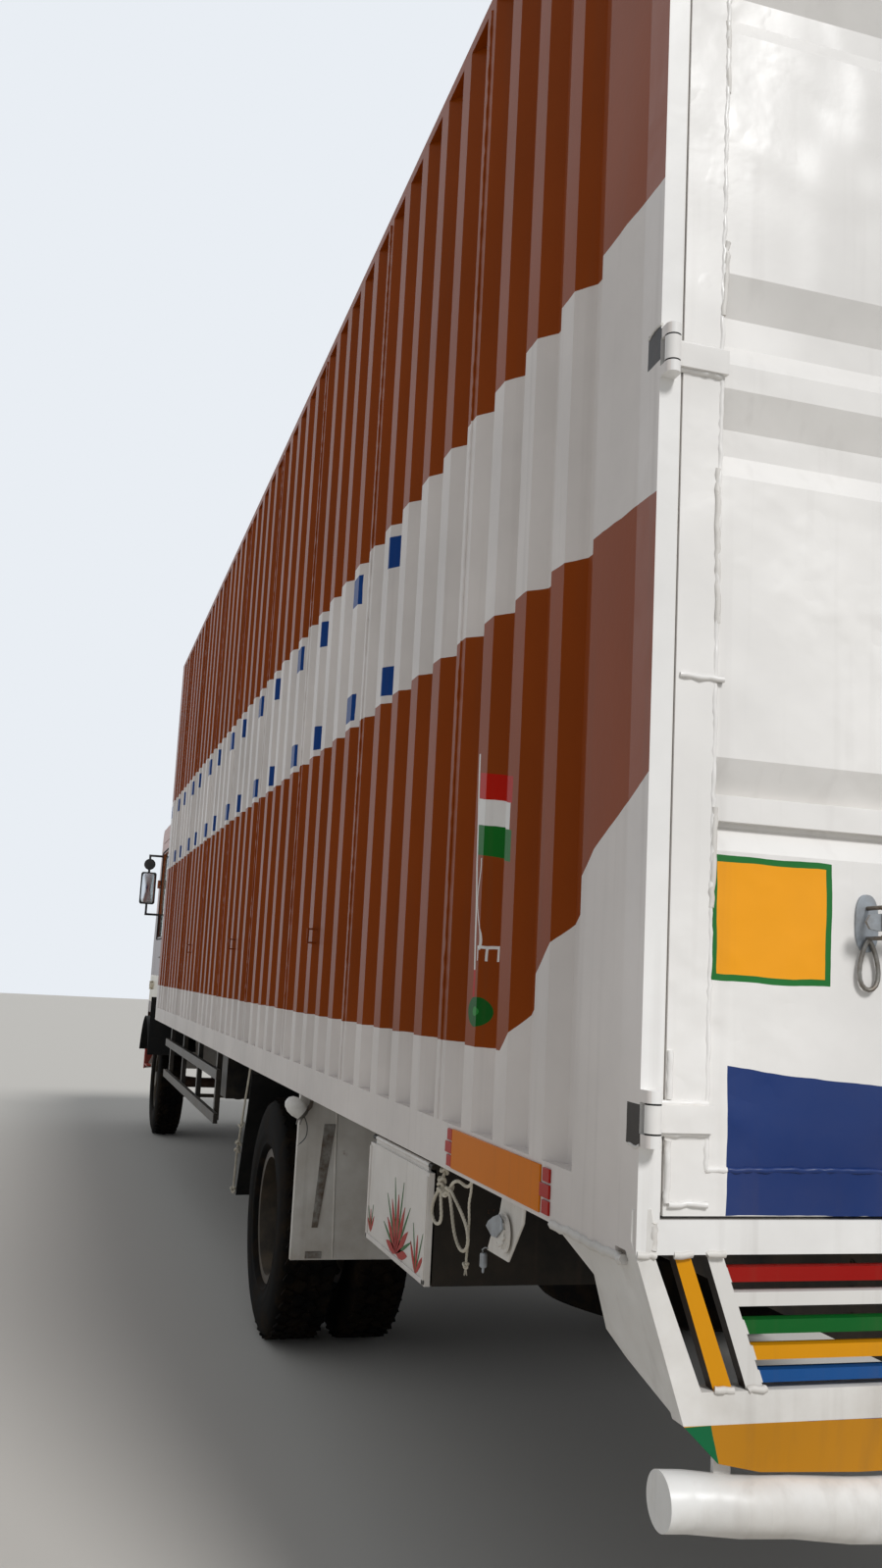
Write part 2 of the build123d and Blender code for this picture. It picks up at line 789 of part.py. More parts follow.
# Front wall: the same pressed sheet across, between a bottom and a top rail
with BuildPart() as front_wall:
    with BuildSketch(Plane.XY.offset(floor_top)):
        outline = corrugation(
            -inner_width,
            inner_width,
            -groove_pitch * (front_groove_count - 1) / 2,
            groove_pitch,
            front_groove_count,
            groove_flat,
            groove_slope,
            groove_depth,
        )
        with BuildLine():
            Polyline(*[(along, front_y - across) for along, across in outline], close=True)
        make_face()
    extrude(amount=body_top - top_rail_height - floor_top)
    for bottom, height in ((rail_bottom, rail_height), (body_top - top_rail_height, top_rail_height)):
        with Locations((0, front_y - front_post_depth / 2, bottom + height / 2)):
            Box(2 * inner_width, front_post_depth, height)


# Roof: sheet with shallow cross ribs, let in between the top rails
with BuildPart() as roof:
    with BuildSketch(Plane.YZ.offset(-inner_width)):
        roof_first = (frame_start_y + frame_end_y - roof_rib_pitch * (roof_rib_count - 1)) / 2
        outline = corrugation(
            frame_start_y,
            frame_end_y,
            roof_first,
            roof_rib_pitch,
            roof_rib_count,
            roof_rib_flat,
            roof_rib_slope,
            roof_rib_depth,
        )
        roof_base = body_top - roof_rib_depth - 2 * sheet
        with BuildLine():
            Polyline(*[(along, roof_base + across) for along, across in outline], close=True)
        make_face()
    extrude(amount=2 * inner_width)


# Rear portal: corner posts, header and sill, with the fixed hinge lugs and pins
opening_top = body_top - header_height
opening_half = half_body - post_width
hinge_x = half_body - hinge_inset
hinge_y = tail_y - hinge_offset

with BuildPart() as rear_frame:
    with BuildSketch(Plane.XZ.offset(-tail_y)):
        with Locations((0, (body_top + sill_top - sill_height) / 2)):
            Rectangle(body_width, body_top - sill_top + sill_height)
        with Locations((0, (opening_top + sill_top) / 2)):
            Rectangle(2 * opening_half, opening_top - sill_top, mode=Mode.SUBTRACT)
    extrude(amount=-post_depth)
    for middle in hinge_heights:
        for side in (-1, 1):
            for level in (-1, 1):
                lug_middle = middle + level * (hinge_height - hinge_lug) / 2
                with BuildSketch(Plane.XY.offset(lug_middle - hinge_lug / 2)):
                    with Locations((side * hinge_x, hinge_y)):
                        Circle(hinge_barrel_radius)
                    with Locations((side * hinge_x, hinge_y + hinge_offset / 2)):
                        Rectangle(2 * hinge_barrel_radius, hinge_offset)
                extrude(amount=hinge_lug)
            with BuildSketch(Plane.XY.offset(middle - hinge_height / 2)):
                with Locations((side * hinge_x, hinge_y)):
                    Circle(hinge_pin_radius)
            extrude(amount=hinge_height)


# Rear doors: box frame, pressed panel with cross grooves, a channel rib and hinge straps
door_grooves = [
    # top of the upper slope, top of the recess, foot of the recess, foot of the lower slope
    (3670.0, 3605.0, 3555.0, 3505.0),
    (3450.0, 3385.0, 3335.0, 3285.0),
    (2804.0, 2734.0, 2680.0, 2630.0),
    (2584.0, 2520.0, 2470.0, 2420.0),
    (1916.0, 1856.0, 1800.0, 1756.0),
]
rib_bottom = 1808.0
rib_height = 44.0
rib_depth = 20.0
door_left = -half_body + post_width + hinge_side_gap
door_right = -door_gap
door_bottom = sill_top + door_gap
door_top = opening_top - door_gap
panel_left = door_left + stile_width
panel_right = door_right - meeting_stile
barrel_height = hinge_height - 2 * hinge_lug - 2 * hinge_lug_gap

with BuildPart() as rear_door_left:
    with BuildSketch(Plane.XZ.offset(-tail_y)):
        with Locations(((door_left + door_right) / 2, (door_bottom + door_top) / 2)):
            Rectangle(door_right - door_left, door_top - door_bottom)
        with Locations(((panel_left + panel_right) / 2, (door_bottom + door_top) / 2)):
            Rectangle(
                panel_right - panel_left,
                door_top - door_bottom - 2 * door_rail_height,
                mode=Mode.SUBTRACT,
            )
    extrude(amount=-door_depth)
    with BuildSketch(Plane.YZ.offset(panel_left)):
        face = [(tail_y + panel_setback, door_top - door_rail_height)]
        for slope_top, recess_top, recess_foot, slope_foot in door_grooves:
            face.append((tail_y + panel_setback, slope_top))
            face.append((tail_y + panel_setback + press_depth, recess_top))
            face.append((tail_y + panel_setback + press_depth, recess_foot))
            face.append((tail_y + panel_setback, slope_foot))
        face.append((tail_y + panel_setback, door_bottom + door_rail_height))
        back = [(across + sheet, height) for across, height in reversed(face)]
        with BuildLine():
            Polyline(*face, *back, close=True)
        make_face()
        with Locations((tail_y + panel_setback + press_depth - rib_depth / 2, rib_bottom + rib_height / 2)):
            Rectangle(rib_depth, rib_height)
    extrude(amount=panel_right - panel_left)
    for middle in hinge_heights:
        with BuildSketch(Plane.XY.offset(middle - barrel_height / 2)):
            with Locations((-hinge_x, hinge_y)):
                Circle(hinge_barrel_radius)
            with Locations((
                -hinge_x + strap_reach / 2,
                tail_y - strap_lift - strap_thickness / 2,
            )):
                Rectangle(strap_reach, strap_thickness)
            with Locations((
                (door_left - hinge_x + strap_reach) / 2,
                tail_y - (strap_lift + strap_thickness) / 2,
            )):
                Rectangle(-hinge_x + strap_reach - door_left, strap_lift + strap_thickness)
            with Locations((-hinge_x, hinge_y)):
                Circle(hinge_pin_radius + hinge_play, mode=Mode.SUBTRACT)
        extrude(amount=barrel_height)

with BuildPart() as rear_door_right:
    add(rear_door_left.part)
    mirror(about=Plane.YZ, mode=Mode.REPLACE)


# Lock gear: upright rods in guides, each with a flat handle and its catch
guide_table = [
    # height, how far the door face lies inside the tail plane there
    (door_bottom + 35, 0.0),
    (1500.0, panel_setback),
    (2150.0, panel_setback),
    (3050.0, panel_setback),
    (door_top - 35, 0.0),
]
guide_width = 56.0
guide_height = 40.0
rod_end_gap = 12.0
rod_bottom = door_bottom + rod_end_gap
rod_top = door_top - rod_end_gap
handle_thickness = 12.0
handle_width = 30.0
catch_width = 40.0
catch_height = 120.0
hasp_radius = 7.0
rod_y = tail_y - rod_standoff

with BuildPart() as lock_gear_left:
    for rod_x in rod_places:
        with BuildSketch(Plane.XY.offset(rod_bottom)):
            with Locations((rod_x, rod_y)):
                Circle(rod_radius)
        extrude(amount=rod_top - rod_bottom)
        for height, setback in guide_table:
            guide_rear = rod_y - rod_radius - rod_guide_wall
            guide_depth = tail_y + setback - guide_rear
            with Locations((rod_x, guide_rear + guide_depth / 2, height)):
                Box(guide_width, guide_depth, guide_height)
        handle_y = rod_y - rod_radius - rod_guide_wall + handle_thickness / 2
        with Locations((rod_x - handle_length / 2, handle_y, handle_height)):
            Box(handle_length, handle_thickness, handle_width)
        catch_depth = tail_y + panel_setback - handle_y - handle_thickness / 2
        with Locations((
            rod_x - handle_length + catch_width / 2,
            tail_y + panel_setback - catch_depth / 2,
            handle_height,
        )):
            Box(catch_width, catch_depth, catch_height)

with BuildPart() as lock_gear_right:
    add(lock_gear_left.part)
    mirror(about=Plane.YZ, mode=Mode.REPLACE)


# Tail frame below the sill: slanted posts, low beam, upright posts, centre sheet and skirts
sill_bottom = sill_top - sill_height
post_top_inset = 0.0
post_foot_inset = 90.0
post_top_face = 32.0
post_foot_face = 51.0
skirt_tilt = math.atan2(post_foot_inset - post_top_inset, sill_bottom - low_beam_bottom)
skirt_top = rail_bottom - sheet * math.sin(skirt_tilt)
skirt_outline = [
    # distance forward of the tail, height
    (tail_beam_depth, skirt_top),
    (370.0, skirt_top),
    (225.0, 1023.0),
    (240.0, 928.0),
    (175.0, 896.0),
    (tail_beam_depth, 850.0),
]
centre_half = rail_outer - chassis_flange

with BuildPart() as tail_frame:
    with BuildSketch(Plane.XZ.offset(-tail_y)):
        with BuildLine():
            Polyline(
                (-half_body + post_top_inset, sill_bottom),
                (-half_body + post_top_inset + post_top_face, sill_bottom),
                (-half_body + post_foot_inset + post_foot_face, low_beam_bottom),
                (-half_body + post_foot_inset, low_beam_bottom),
                close=True,
            )
        make_face()
        mirror(about=Plane.YZ)
        with Locations((0, low_beam_bottom + low_beam_height / 2)):
            Rectangle(2 * (half_body - post_foot_inset - post_foot_face / 2), low_beam_height)
        tail_middle = (low_beam_bottom + sill_bottom) / 2
        with Locations((-rail_centre, tail_middle), (rail_centre, tail_middle)):
            Rectangle(chassis_flange, sill_bottom - low_beam_bottom)
    extrude(amount=-tail_beam_depth)
    with Locations((0, tail_y + tail_beam_depth - sheet / 2, (low_beam_bottom + sill_bottom) / 2)):
        Box(2 * centre_half, sheet, sill_bottom - low_beam_bottom)
    skirt_normal = (math.cos(skirt_tilt), 0, math.sin(skirt_tilt))
    skirt_corner = (-half_body + post_top_inset, tail_y, sill_bottom)
    with BuildSketch(Plane(origin=skirt_corner, x_dir=(0, 1, 0), z_dir=skirt_normal)):
        with BuildLine():
            Polyline(
                *[
                    (along, (height - sill_bottom) / math.cos(skirt_tilt))
                    for along, height in skirt_outline
                ],
                close=True,
            )
        make_face()
    extrude(amount=sheet)
    mirror(about=Plane.YZ)


# Coloured bars let into the tail frame, and the leaning strip under it
bar_table = [
    # bottom, top
    (1056.0, 1079.0),
    (1018.0, 1040.0),
    (975.0, 997.0),
    (935.0, 957.0),
    (900.0, 919.0),
]
bar_setback = 6.0
bar_depth = 24.0
slant_top = sill_bottom
slant_foot = low_beam_bottom + low_beam_height
inner_slant = [(127.0, slant_top), (156.0, slant_top), (234.0, slant_foot), (203.0, slant_foot)]
outer_slant = [(69.0, slant_top), (97.0, slant_top), (178.0, slant_foot), (144.0, slant_foot)]
bar_inset_top = 146.0
bar_inset_foot = 224.0
strip_outline = [
    # distance from the middle, height
    (1130.0, low_beam_bottom),
    (1062.0, 778.0),
    (985.0, 761.0),
    (800.0, 752.0),
]
strip_bottom = 752.0
strip_lean = 16.0

with BuildPart() as tail_bars:
    with BuildSketch(Plane.XZ.offset(-(tail_y + bar_setback))):
        for corners in (inner_slant, outer_slant):
            with BuildLine():
                Polyline(*[(-half_body + inset, height) for inset, height in corners], close=True)
            make_face()
        for bottom, top in bar_table:
            middle = (bottom + top) / 2
            share = (slant_top - middle) / (slant_top - slant_foot)
            start = -half_body + bar_inset_top + (bar_inset_foot - bar_inset_top) * share
            with Locations(((start - rail_outer) / 2, middle)):
                Rectangle(-rail_outer - start, top - bottom)
        mirror(about=Plane.YZ)
    extrude(amount=-bar_depth)

# The strip leans forward at its foot, and its ends are cut at a slant
with BuildPart() as tail_strip:
    with BuildSketch(Plane.YZ.offset(-half_body)):
        with BuildLine():
            Polyline(
                (tail_y, low_beam_bottom),
                (tail_y + sheet, low_beam_bottom),
                (tail_y + sheet + strip_lean, strip_bottom),
                (tail_y + strip_lean, strip_bottom),
                close=True,
            )
        make_face()
    extrude(amount=2 * half_body)
    with BuildSketch(Plane.XZ.offset(-tail_y)):
        with BuildLine():
            Polyline(
                *[(-across, height) for across, height in strip_outline],
                *[(across, height) for across, height in reversed(strip_outline)],
                close=True,
            )
        make_face()
    extrude(amount=-2 * tail_beam_depth, mode=Mode.INTERSECT)
with tail_bars:
    add(tail_strip.part)


# Round rear bumper, knocked down and flattened near one side, with its hangers up to the low beam
bumper_tube_sections = [
    # x, distance forward of the tail, height, half depth, half height
    (-1150.0, 40.0, 717.0, bumper_tube_radius, bumper_tube_radius),
    (-985.0, 19.0, 708.0, bumper_tube_radius, bumper_tube_radius),
    (-770.0, 18.0, 691.0, 38.0, 51.0),
    (-500.0, 19.0, 690.0, 44.0, 47.0),
    (0.0, 19.0, 694.0, bumper_tube_radius, bumper_tube_radius),
    (700.0, 19.0, 702.0, bumper_tube_radius, bumper_tube_radius),
    (1150.0, 36.0, 714.0, bumper_tube_radius, bumper_tube_radius),
]
hanger_places = [-1045.0, -rail_centre, rail_centre, 1045.0]
hanger_plate = 10.0
hanger_width = 30.0
hanger_foot = 710.0
tube_steps = 4

with BuildPart() as bumper_tube:
    for near, far in zip(bumper_tube_sections, bumper_tube_sections[1:]):
        for step in range(tube_steps + (far is bumper_tube_sections[-1])):
            share = step / tube_steps
            eased = share * share * (3 - 2 * share)
            place = near[0] + (far[0] - near[0]) * share
            ahead, height, half_depth, half_height = [
                a + (b - a) * eased for a, b in zip(near[1:], far[1:])
            ]
            with BuildSketch(Plane.YZ.offset(place)):
                with Locations((tail_y + ahead, height)):
                    Ellipse(half_depth, half_height)
    loft(ruled=True)
    with BuildSketch(Plane.XZ.offset(-(tail_y + tail_beam_depth - hanger_plate))):
        for place in hanger_places:
            with Locations((place, (hanger_foot + low_beam_bottom) / 2)):
                Rectangle(hanger_width, low_beam_bottom - hanger_foot)
    extrude(amount=-hanger_plate)


# Upright mud panels behind the rear wheels, hung from a cross bearer
mud_station = 2900.0
mud_bottom = 500.0
mud_inner = 570.0
mud_fold = 28.0

with BuildPart() as rear_mud_panels:
    with BuildSketch(Plane.XY.offset(mud_bottom)):
        with Locations((-(half_body + mud_inner) / 2, tail_y + mud_station + sheet / 2)):
            Rectangle(half_body - mud_inner, sheet)
        with Locations((-half_body + sheet / 2, tail_y + mud_station + mud_fold / 2)):
            Rectangle(sheet, mud_fold)
        with Locations((-mud_inner - sheet / 2, tail_y + mud_station + mud_fold / 2)):
            Rectangle(sheet, mud_fold)
    extrude(amount=rail_bottom - mud_bottom)
    mirror(about=Plane.YZ)


# Front mudguards: an arch over each steered wheel, and a rubber flap hung behind it
guard_radius = 577.0
guard_thickness = 4.0
guard_outer = half_body - 5.0
guard_inner = 780.0
guard_front_angle = 25.0
guard_rear_angle = 150.0
guard_block_width = 200.0
guard_block_length = 60.0
flap_thickness = 6.0
flap_inner = 860.0
flap_bottom = 750.0
flap_ear_top = 1260.0
flap_ear_gap = 2.0


def guard_point(radius, degrees):
    angle = math.radians(degrees)
    return (front_axle_y + radius * math.cos(angle), axle_height + radius * math.sin(angle))


with BuildPart() as front_mudguards:
    with BuildSketch(Plane.YZ.offset(-guard_outer)):
        outside = guard_radius + guard_thickness
        middle_angle = (guard_front_angle + guard_rear_angle) / 2
        with BuildLine():
            ThreePointArc(
                guard_point(guard_radius, guard_front_angle),
                guard_point(guard_radius, middle_angle),
                guard_point(guard_radius, guard_rear_angle),
            )
            Line(guard_point(guard_radius, guard_rear_angle), guard_point(outside, guard_rear_angle))
            ThreePointArc(
                guard_point(outside, guard_rear_angle),
                guard_point(outside, middle_angle),
                guard_point(outside, guard_front_angle),
            )
            Line(guard_point(outside, guard_front_angle), guard_point(guard_radius, guard_front_angle))
        make_face()
    extrude(amount=guard_outer - guard_inner)
    block_bottom = axle_height + guard_radius + guard_thickness / 2
    with Locations((
        -(guard_outer + guard_inner) / 2,
        front_axle_y,
        (block_bottom + cab_floor_bottom) / 2,
    )):
        Box(guard_block_width, guard_block_length, cab_floor_bottom - block_bottom)
    with BuildSketch(Plane.XZ.offset(-(front_axle_y - guard_radius - 2 * flap_thickness))):
        with Locations((-(half_body + flap_inner) / 2, (flap_bottom + cab_floor_bottom) / 2)):
            Rectangle(half_body - flap_inner, cab_floor_bottom - flap_bottom)
        with Locations((-(half_body + half_cab + flap_ear_gap) / 2, (flap_bottom + flap_ear_top) / 2)):
            Rectangle(half_body - half_cab - flap_ear_gap, flap_ear_top - flap_bottom)
    extrude(amount=-flap_thickness)
    mirror(about=Plane.YZ)


# Tool box: open-fronted sheet box under the left rail, and its top-hung lid
box_front_x = -half_body + lid_thickness + lid_gap
box_middle_y = tail_y + box_start + box_length / 2
lid_hinge_x = -half_body + 12.0
lid_hinge_z = rail_bottom - 15.0
lid_top = lid_hinge_z - 14.0
lid_pin_radius = 4.0
lid_barrel_radius = 7.0
lid_lug_length = 30.0

with BuildPart() as tool_box:
    with Locations((box_front_x + box_inboard / 2, box_middle_y, (box_bottom + rail_bottom) / 2)):
        Box(box_inboard, box_length, rail_bottom - box_bottom)
    with Locations((
        box_front_x + (box_inboard - box_sheet) / 2,
        box_middle_y,
        (box_bottom + rail_bottom) / 2,
    )):
        Box(
            box_inboard - box_sheet,
            box_length - 2 * box_sheet,
            rail_bottom - box_bottom - 2 * box_sheet,
            mode=Mode.SUBTRACT,
        )
    for end in (-1, 1):
        lug_start = box_middle_y + end * (box_length - lid_lug_length) / 2 - lid_lug_length / 2
        with BuildSketch(Plane.XZ.offset(-lug_start)):
            with Locations((lid_hinge_x, lid_hinge_z)):
                Circle(lid_barrel_radius)
            with Locations(((lid_hinge_x + box_front_x + box_sheet) / 2, lid_hinge_z + 2)):
                Rectangle(box_front_x + box_sheet - lid_hinge_x, 8)
        extrude(amount=-lid_lug_length)
    with BuildSketch(Plane.XZ.offset(-(box_middle_y - box_length / 2 + 2))):
        with Locations((lid_hinge_x, lid_hinge_z)):
            Circle(lid_pin_radius)
    extrude(amount=-(box_length - 4))

with BuildPart() as tool_box_lid:
    with Locations((-half_body + lid_thickness / 2, box_middle_y, (box_bottom + lid_top) / 2)):
        Box(lid_thickness, box_length, lid_top - box_bottom)
    with BuildSketch(Plane.XZ.offset(-(box_middle_y - box_length / 2 + lid_lug_length + 3))):
        with Locations((lid_hinge_x, lid_hinge_z)):
            Circle(lid_barrel_radius)
        with Locations((lid_hinge_x - 2, (lid_hinge_z + lid_top) / 2)):
            Rectangle(6, lid_hinge_z - lid_top)
        with Locations((lid_hinge_x, lid_hinge_z)):
            Circle(lid_pin_radius + running_gap, mode=Mode.SUBTRACT)
    extrude(amount=-(box_length - 2 * lid_lug_length - 6))


# Side guards between the axles: two rails on hung posts, both sides
guard_posts = [12, 14, 16, 18]
guard_rail_levels = [700.0, 940.0]
guard_rail_height = 55.0
guard_rail_depth = 25.0
guard_post_depth = 30.0
guard_post_width = 50.0
guard_rail_start = 5640.0
guard_rail_end = 8950.0

with BuildPart() as side_guards:
    for level in guard_rail_levels:
        with Locations((
            -inner_width - guard_rail_depth / 2,
            tail_y + (guard_rail_start + guard_rail_end) / 2,
            level,
        )):
            Box(guard_rail_depth, guard_rail_end - guard_rail_start, guard_rail_height)
    post_foot = guard_rail_levels[0] - guard_rail_height / 2
    for index in guard_posts:
        with Locations((
            -inner_width + guard_post_depth / 2,
            tail_y + index * bearer_pitch,
            (rail_bottom + post_foot) / 2,
        )):
            Box(guard_post_depth, guard_post_width, rail_bottom - post_foot)
    mirror(about=Plane.YZ)


# Cab shell, from which floor, roof, rear, front and doors are parted
def cab_profile(inset):
    return [
        (cab_rear_y + inset, cab_floor_bottom + inset),
        (cab_rear_y + inset, cab_top - inset),
        (cab_front_y - screen_rake - inset * 1.1, cab_top - inset),
        (cab_front_y - inset, screen_foot),
        (cab_front_y - inset, cab_floor_bottom + inset),
    ]


def cab_solid(inset):
    with BuildPart() as solid:
        with BuildSketch(Plane.YZ.offset(-(half_cab - inset))) as side_view:
            with BuildLine():
                Polyline(*cab_profile(inset), close=True)
            make_face()
            upper = side_view.vertices().group_by(Axis.Y)[-1]
            fillet(upper, radius=110.0 - inset)
        extrude(amount=2 * (half_cab - inset))
    return solid.part


def cab_box(x_low, x_high, y_low, y_high, z_low, z_high):
    with BuildPart() as block:
        with Locations((
            (x_low + x_high) / 2,
            cab_rear_y + (y_low + y_high) / 2,
            (z_low + z_high) / 2,
        )):
            Box(x_high - x_low, y_high - y_low, z_high - z_low)
    return block.part


cab_outer = cab_solid(0.0)
cab_inner = cab_solid(cab_wall)
cab_floor_top = cab_floor_bottom + cab_wall
tunnel_half = 400.0
tunnel_start = engine_inset - 60.0
tunnel_end = engine_inset + engine_length + 90.0
tunnel_wall = 20.0
tunnel_top = 1480.0
foot_places = [250.0, cab_length - 180.0]
foot_size = 90.0
skirt_bottom = 880.0

with BuildPart() as cab_floor:
    add(cab_outer)
    add(cab_inner, mode=Mode.SUBTRACT)
    add(cab_box(-half_cab, half_cab, 0, cab_length, 0, cab_floor_top), mode=Mode.INTERSECT)
    add(cab_box(-tunnel_half, tunnel_half, tunnel_start, tunnel_end, cab_floor_bottom, tunnel_top))
    add(
        cab_box(
            -tunnel_half + tunnel_wall,
            tunnel_half - tunnel_wall,
            tunnel_start + tunnel_wall,
            tunnel_end - tunnel_wall,
            cab_floor_bottom,
            tunnel_top - tunnel_wall,
        ),
        mode=Mode.SUBTRACT,
    )
    add(cab_box(-half_cab, half_cab, cab_length - cab_wall, cab_length, skirt_bottom, cab_floor_bottom))
    for place in foot_places:
        for side in (-1, 1):
            with Locations((
                side * rail_centre,
                cab_rear_y + place,
                (chassis_top + cab_floor_bottom) / 2,
            )):
                Box(chassis_flange, foot_size, cab_floor_bottom - chassis_top)

with BuildPart() as cab_roof:
    add(cab_outer)
    add(cab_inner, mode=Mode.SUBTRACT)
    add(cab_box(-half_cab, half_cab, 0, cab_length, cab_roof_line, cab_top), mode=Mode.INTERSECT)

with BuildPart() as cab_rear:
    add(cab_outer)
    add(cab_inner, mode=Mode.SUBTRACT)
    add(
        cab_box(-half_cab, half_cab, 0, cab_door_rear - cab_door_gap, cab_floor_top, cab_roof_line),
        mode=Mode.INTERSECT,
    )

# Front of the cab: screen opening, grille opening, dash and skirt
screen_half = 1060.0
screen_bottom = 1850.0
screen_top = 2660.0
grille_half = 560.0
grille_bottom = 1190.0
grille_top = 1560.0
dash_bottom = 1480.0
dash_top = 1760.0
dash_depth = 270.0
cab_hinge_heights = [1350.0, 2350.0]
cab_hinge_out = 20.0
cab_hinge_forward = 20.0
cab_hinge_pin = 8.0
cab_hinge_barrel = 13.0
cab_hinge_height = 80.0
cab_hinge_lug = 18.0

with BuildPart() as cab_front:
    add(cab_outer)
    add(cab_inner, mode=Mode.SUBTRACT)
    add(
        cab_box(
            -half_cab,
            half_cab,
            cab_door_front + cab_door_gap,
            cab_length,
            cab_floor_top,
            cab_roof_line,
        ),
        mode=Mode.INTERSECT,
    )
    add(
        cab_box(
            -half_cab + cab_wall,
            half_cab - cab_wall,
            cab_length - cab_wall - dash_depth,
            cab_length - cab_wall,
            dash_bottom,
            dash_top,
        )
    )
    add(
        cab_box(-screen_half, screen_half, cab_door_front, cab_length + 10, screen_bottom, screen_top),
        mode=Mode.SUBTRACT,
    )
    add(
        cab_box(
            -grille_half,
            grille_half,
            cab_length - cab_wall - 1,
            cab_length + 10,
            grille_bottom,
            grille_top,
        ),
        mode=Mode.SUBTRACT,
    )
    for middle in cab_hinge_heights:
        for side in (-1, 1):
            hinge_spot = (
                side * (half_cab + cab_hinge_out),
                cab_rear_y + cab_door_front + cab_hinge_forward,
            )
            lug_spot = (
                side * (half_cab + cab_hinge_out / 2),
                hinge_spot[1] + cab_hinge_barrel / 2,
            )
            for level in (-1, 1):
                lug_middle = middle + level * (cab_hinge_height - cab_hinge_lug) / 2
                with BuildSketch(Plane.XY.offset(lug_middle - cab_hinge_lug / 2)):
                    with Locations(hinge_spot):
                        Circle(cab_hinge_barrel)
                    with Locations(lug_spot):
                        Rectangle(cab_hinge_out, cab_hinge_barrel)
                extrude(amount=cab_hinge_lug)
            with BuildSketch(Plane.XY.offset(middle - cab_hinge_height / 2)):
                with Locations(hinge_spot):
                    Circle(cab_hinge_pin)
            extrude(amount=cab_hinge_height)

with BuildPart() as windscreen:
    add(cab_solid(cab_glass_inset))
    add(cab_solid(cab_glass_inset + cab_glass), mode=Mode.SUBTRACT)
    add(
        cab_box(-screen_half, screen_half, cab_door_front, cab_length, screen_bottom, screen_top),
        mode=Mode.INTERSECT,
    )

# Front grille: frame with level slats
slat_count = 7
slat_height = 18.0
grille_frame = 25.0
grille_depth = 30.0

with BuildPart() as grille:
    with BuildSketch(Plane.XZ.offset(-(cab_front_y - grille_depth - 4))):
        with Locations((0, (grille_bottom + grille_top) / 2)):
            Rectangle(2 * grille_half, grille_top - grille_bottom)
            Rectangle(
                2 * (grille_half - grille_frame),
                grille_top - grille_bottom - 2 * grille_frame,
                mode=Mode.SUBTRACT,
            )
    extrude(amount=-grille_depth)
    slat_pitch = (grille_top - grille_bottom - 2 * grille_frame) / (slat_count + 1)
    for index in range(slat_count):
        slat_z = grille_bottom + grille_frame + slat_pitch * (index + 1)
        with BuildSketch(Plane.YZ.offset(-grille_half + grille_frame)):
            with Locations((cab_front_y - 4 - grille_depth / 2, slat_z)):
                Rectangle(grille_depth * 0.8, slat_height / 2, rotation=-35)
        extrude(amount=2 * (grille_half - grille_frame))

# Cab doors with window openings, glass and hinge barrels
window_bottom = 1820.0
window_top = 2640.0
window_inset = 80.0
window_rear = cab_door_rear + window_inset
window_front = cab_door_front - window_inset
window_corner = 60.0
cab_barrel_height = cab_hinge_height - 2 * cab_hinge_lug - 6.0


def window_sketch(x_plane):
    with BuildSketch(Plane.YZ.offset(x_plane)) as opening:
        with Locations((
            cab_rear_y + (window_rear + window_front) / 2,
            (window_bottom + window_top) / 2,
        )):
            RectangleRounded(window_front - window_rear, window_top - window_bottom, window_corner)
    return opening.sketch


with BuildPart() as cab_door_left:
    add(
        cab_box(
            -half_cab,
            -half_cab + cab_wall,
            cab_door_rear,
            cab_door_front,
            cab_floor_top + cab_door_gap,
            cab_roof_line - cab_door_gap,
        )
    )
    extrude(window_sketch(-half_cab), amount=cab_wall, mode=Mode.SUBTRACT)
    for middle in cab_hinge_heights:
        hinge_spot = (-half_cab - cab_hinge_out, cab_rear_y + cab_door_front + cab_hinge_forward)
        with BuildSketch(Plane.XY.offset(middle - cab_barrel_height / 2)):
            with Locations(hinge_spot):
                Circle(cab_hinge_barrel)
            with Locations((-half_cab - cab_hinge_out, hinge_spot[1] - 35)):
                Rectangle(6, 70)
            with Locations((-half_cab - cab_hinge_out / 2, hinge_spot[1] - 50)):
                Rectangle(cab_hinge_out, 40)
            with Locations(hinge_spot):
                Circle(cab_hinge_pin + hinge_play, mode=Mode.SUBTRACT)
        extrude(amount=cab_barrel_height)

with BuildPart() as cab_door_right:
    add(cab_door_left.part)
    mirror(about=Plane.YZ, mode=Mode.REPLACE)

with BuildPart() as door_glass_left:
    extrude(window_sketch(-half_cab + cab_glass_inset), amount=cab_glass)

with BuildPart() as door_glass_right:
    add(door_glass_left.part)
    mirror(about=Plane.YZ, mode=Mode.REPLACE)


# Front bumper: beam with turned-back ends, lamp wells, a notch for the jaw and brackets
bumper_bottom = 520.0
bumper_top = 845.0
bumper_wall = 8.0
notch_half = 90.0
lamp_x = 880.0
lamp_z = 690.0
lamp_radius = 85.0
step_width = 180.0
step_length = 300.0
step_thickness = 12.0
step_levels = [560.0, 790.0]

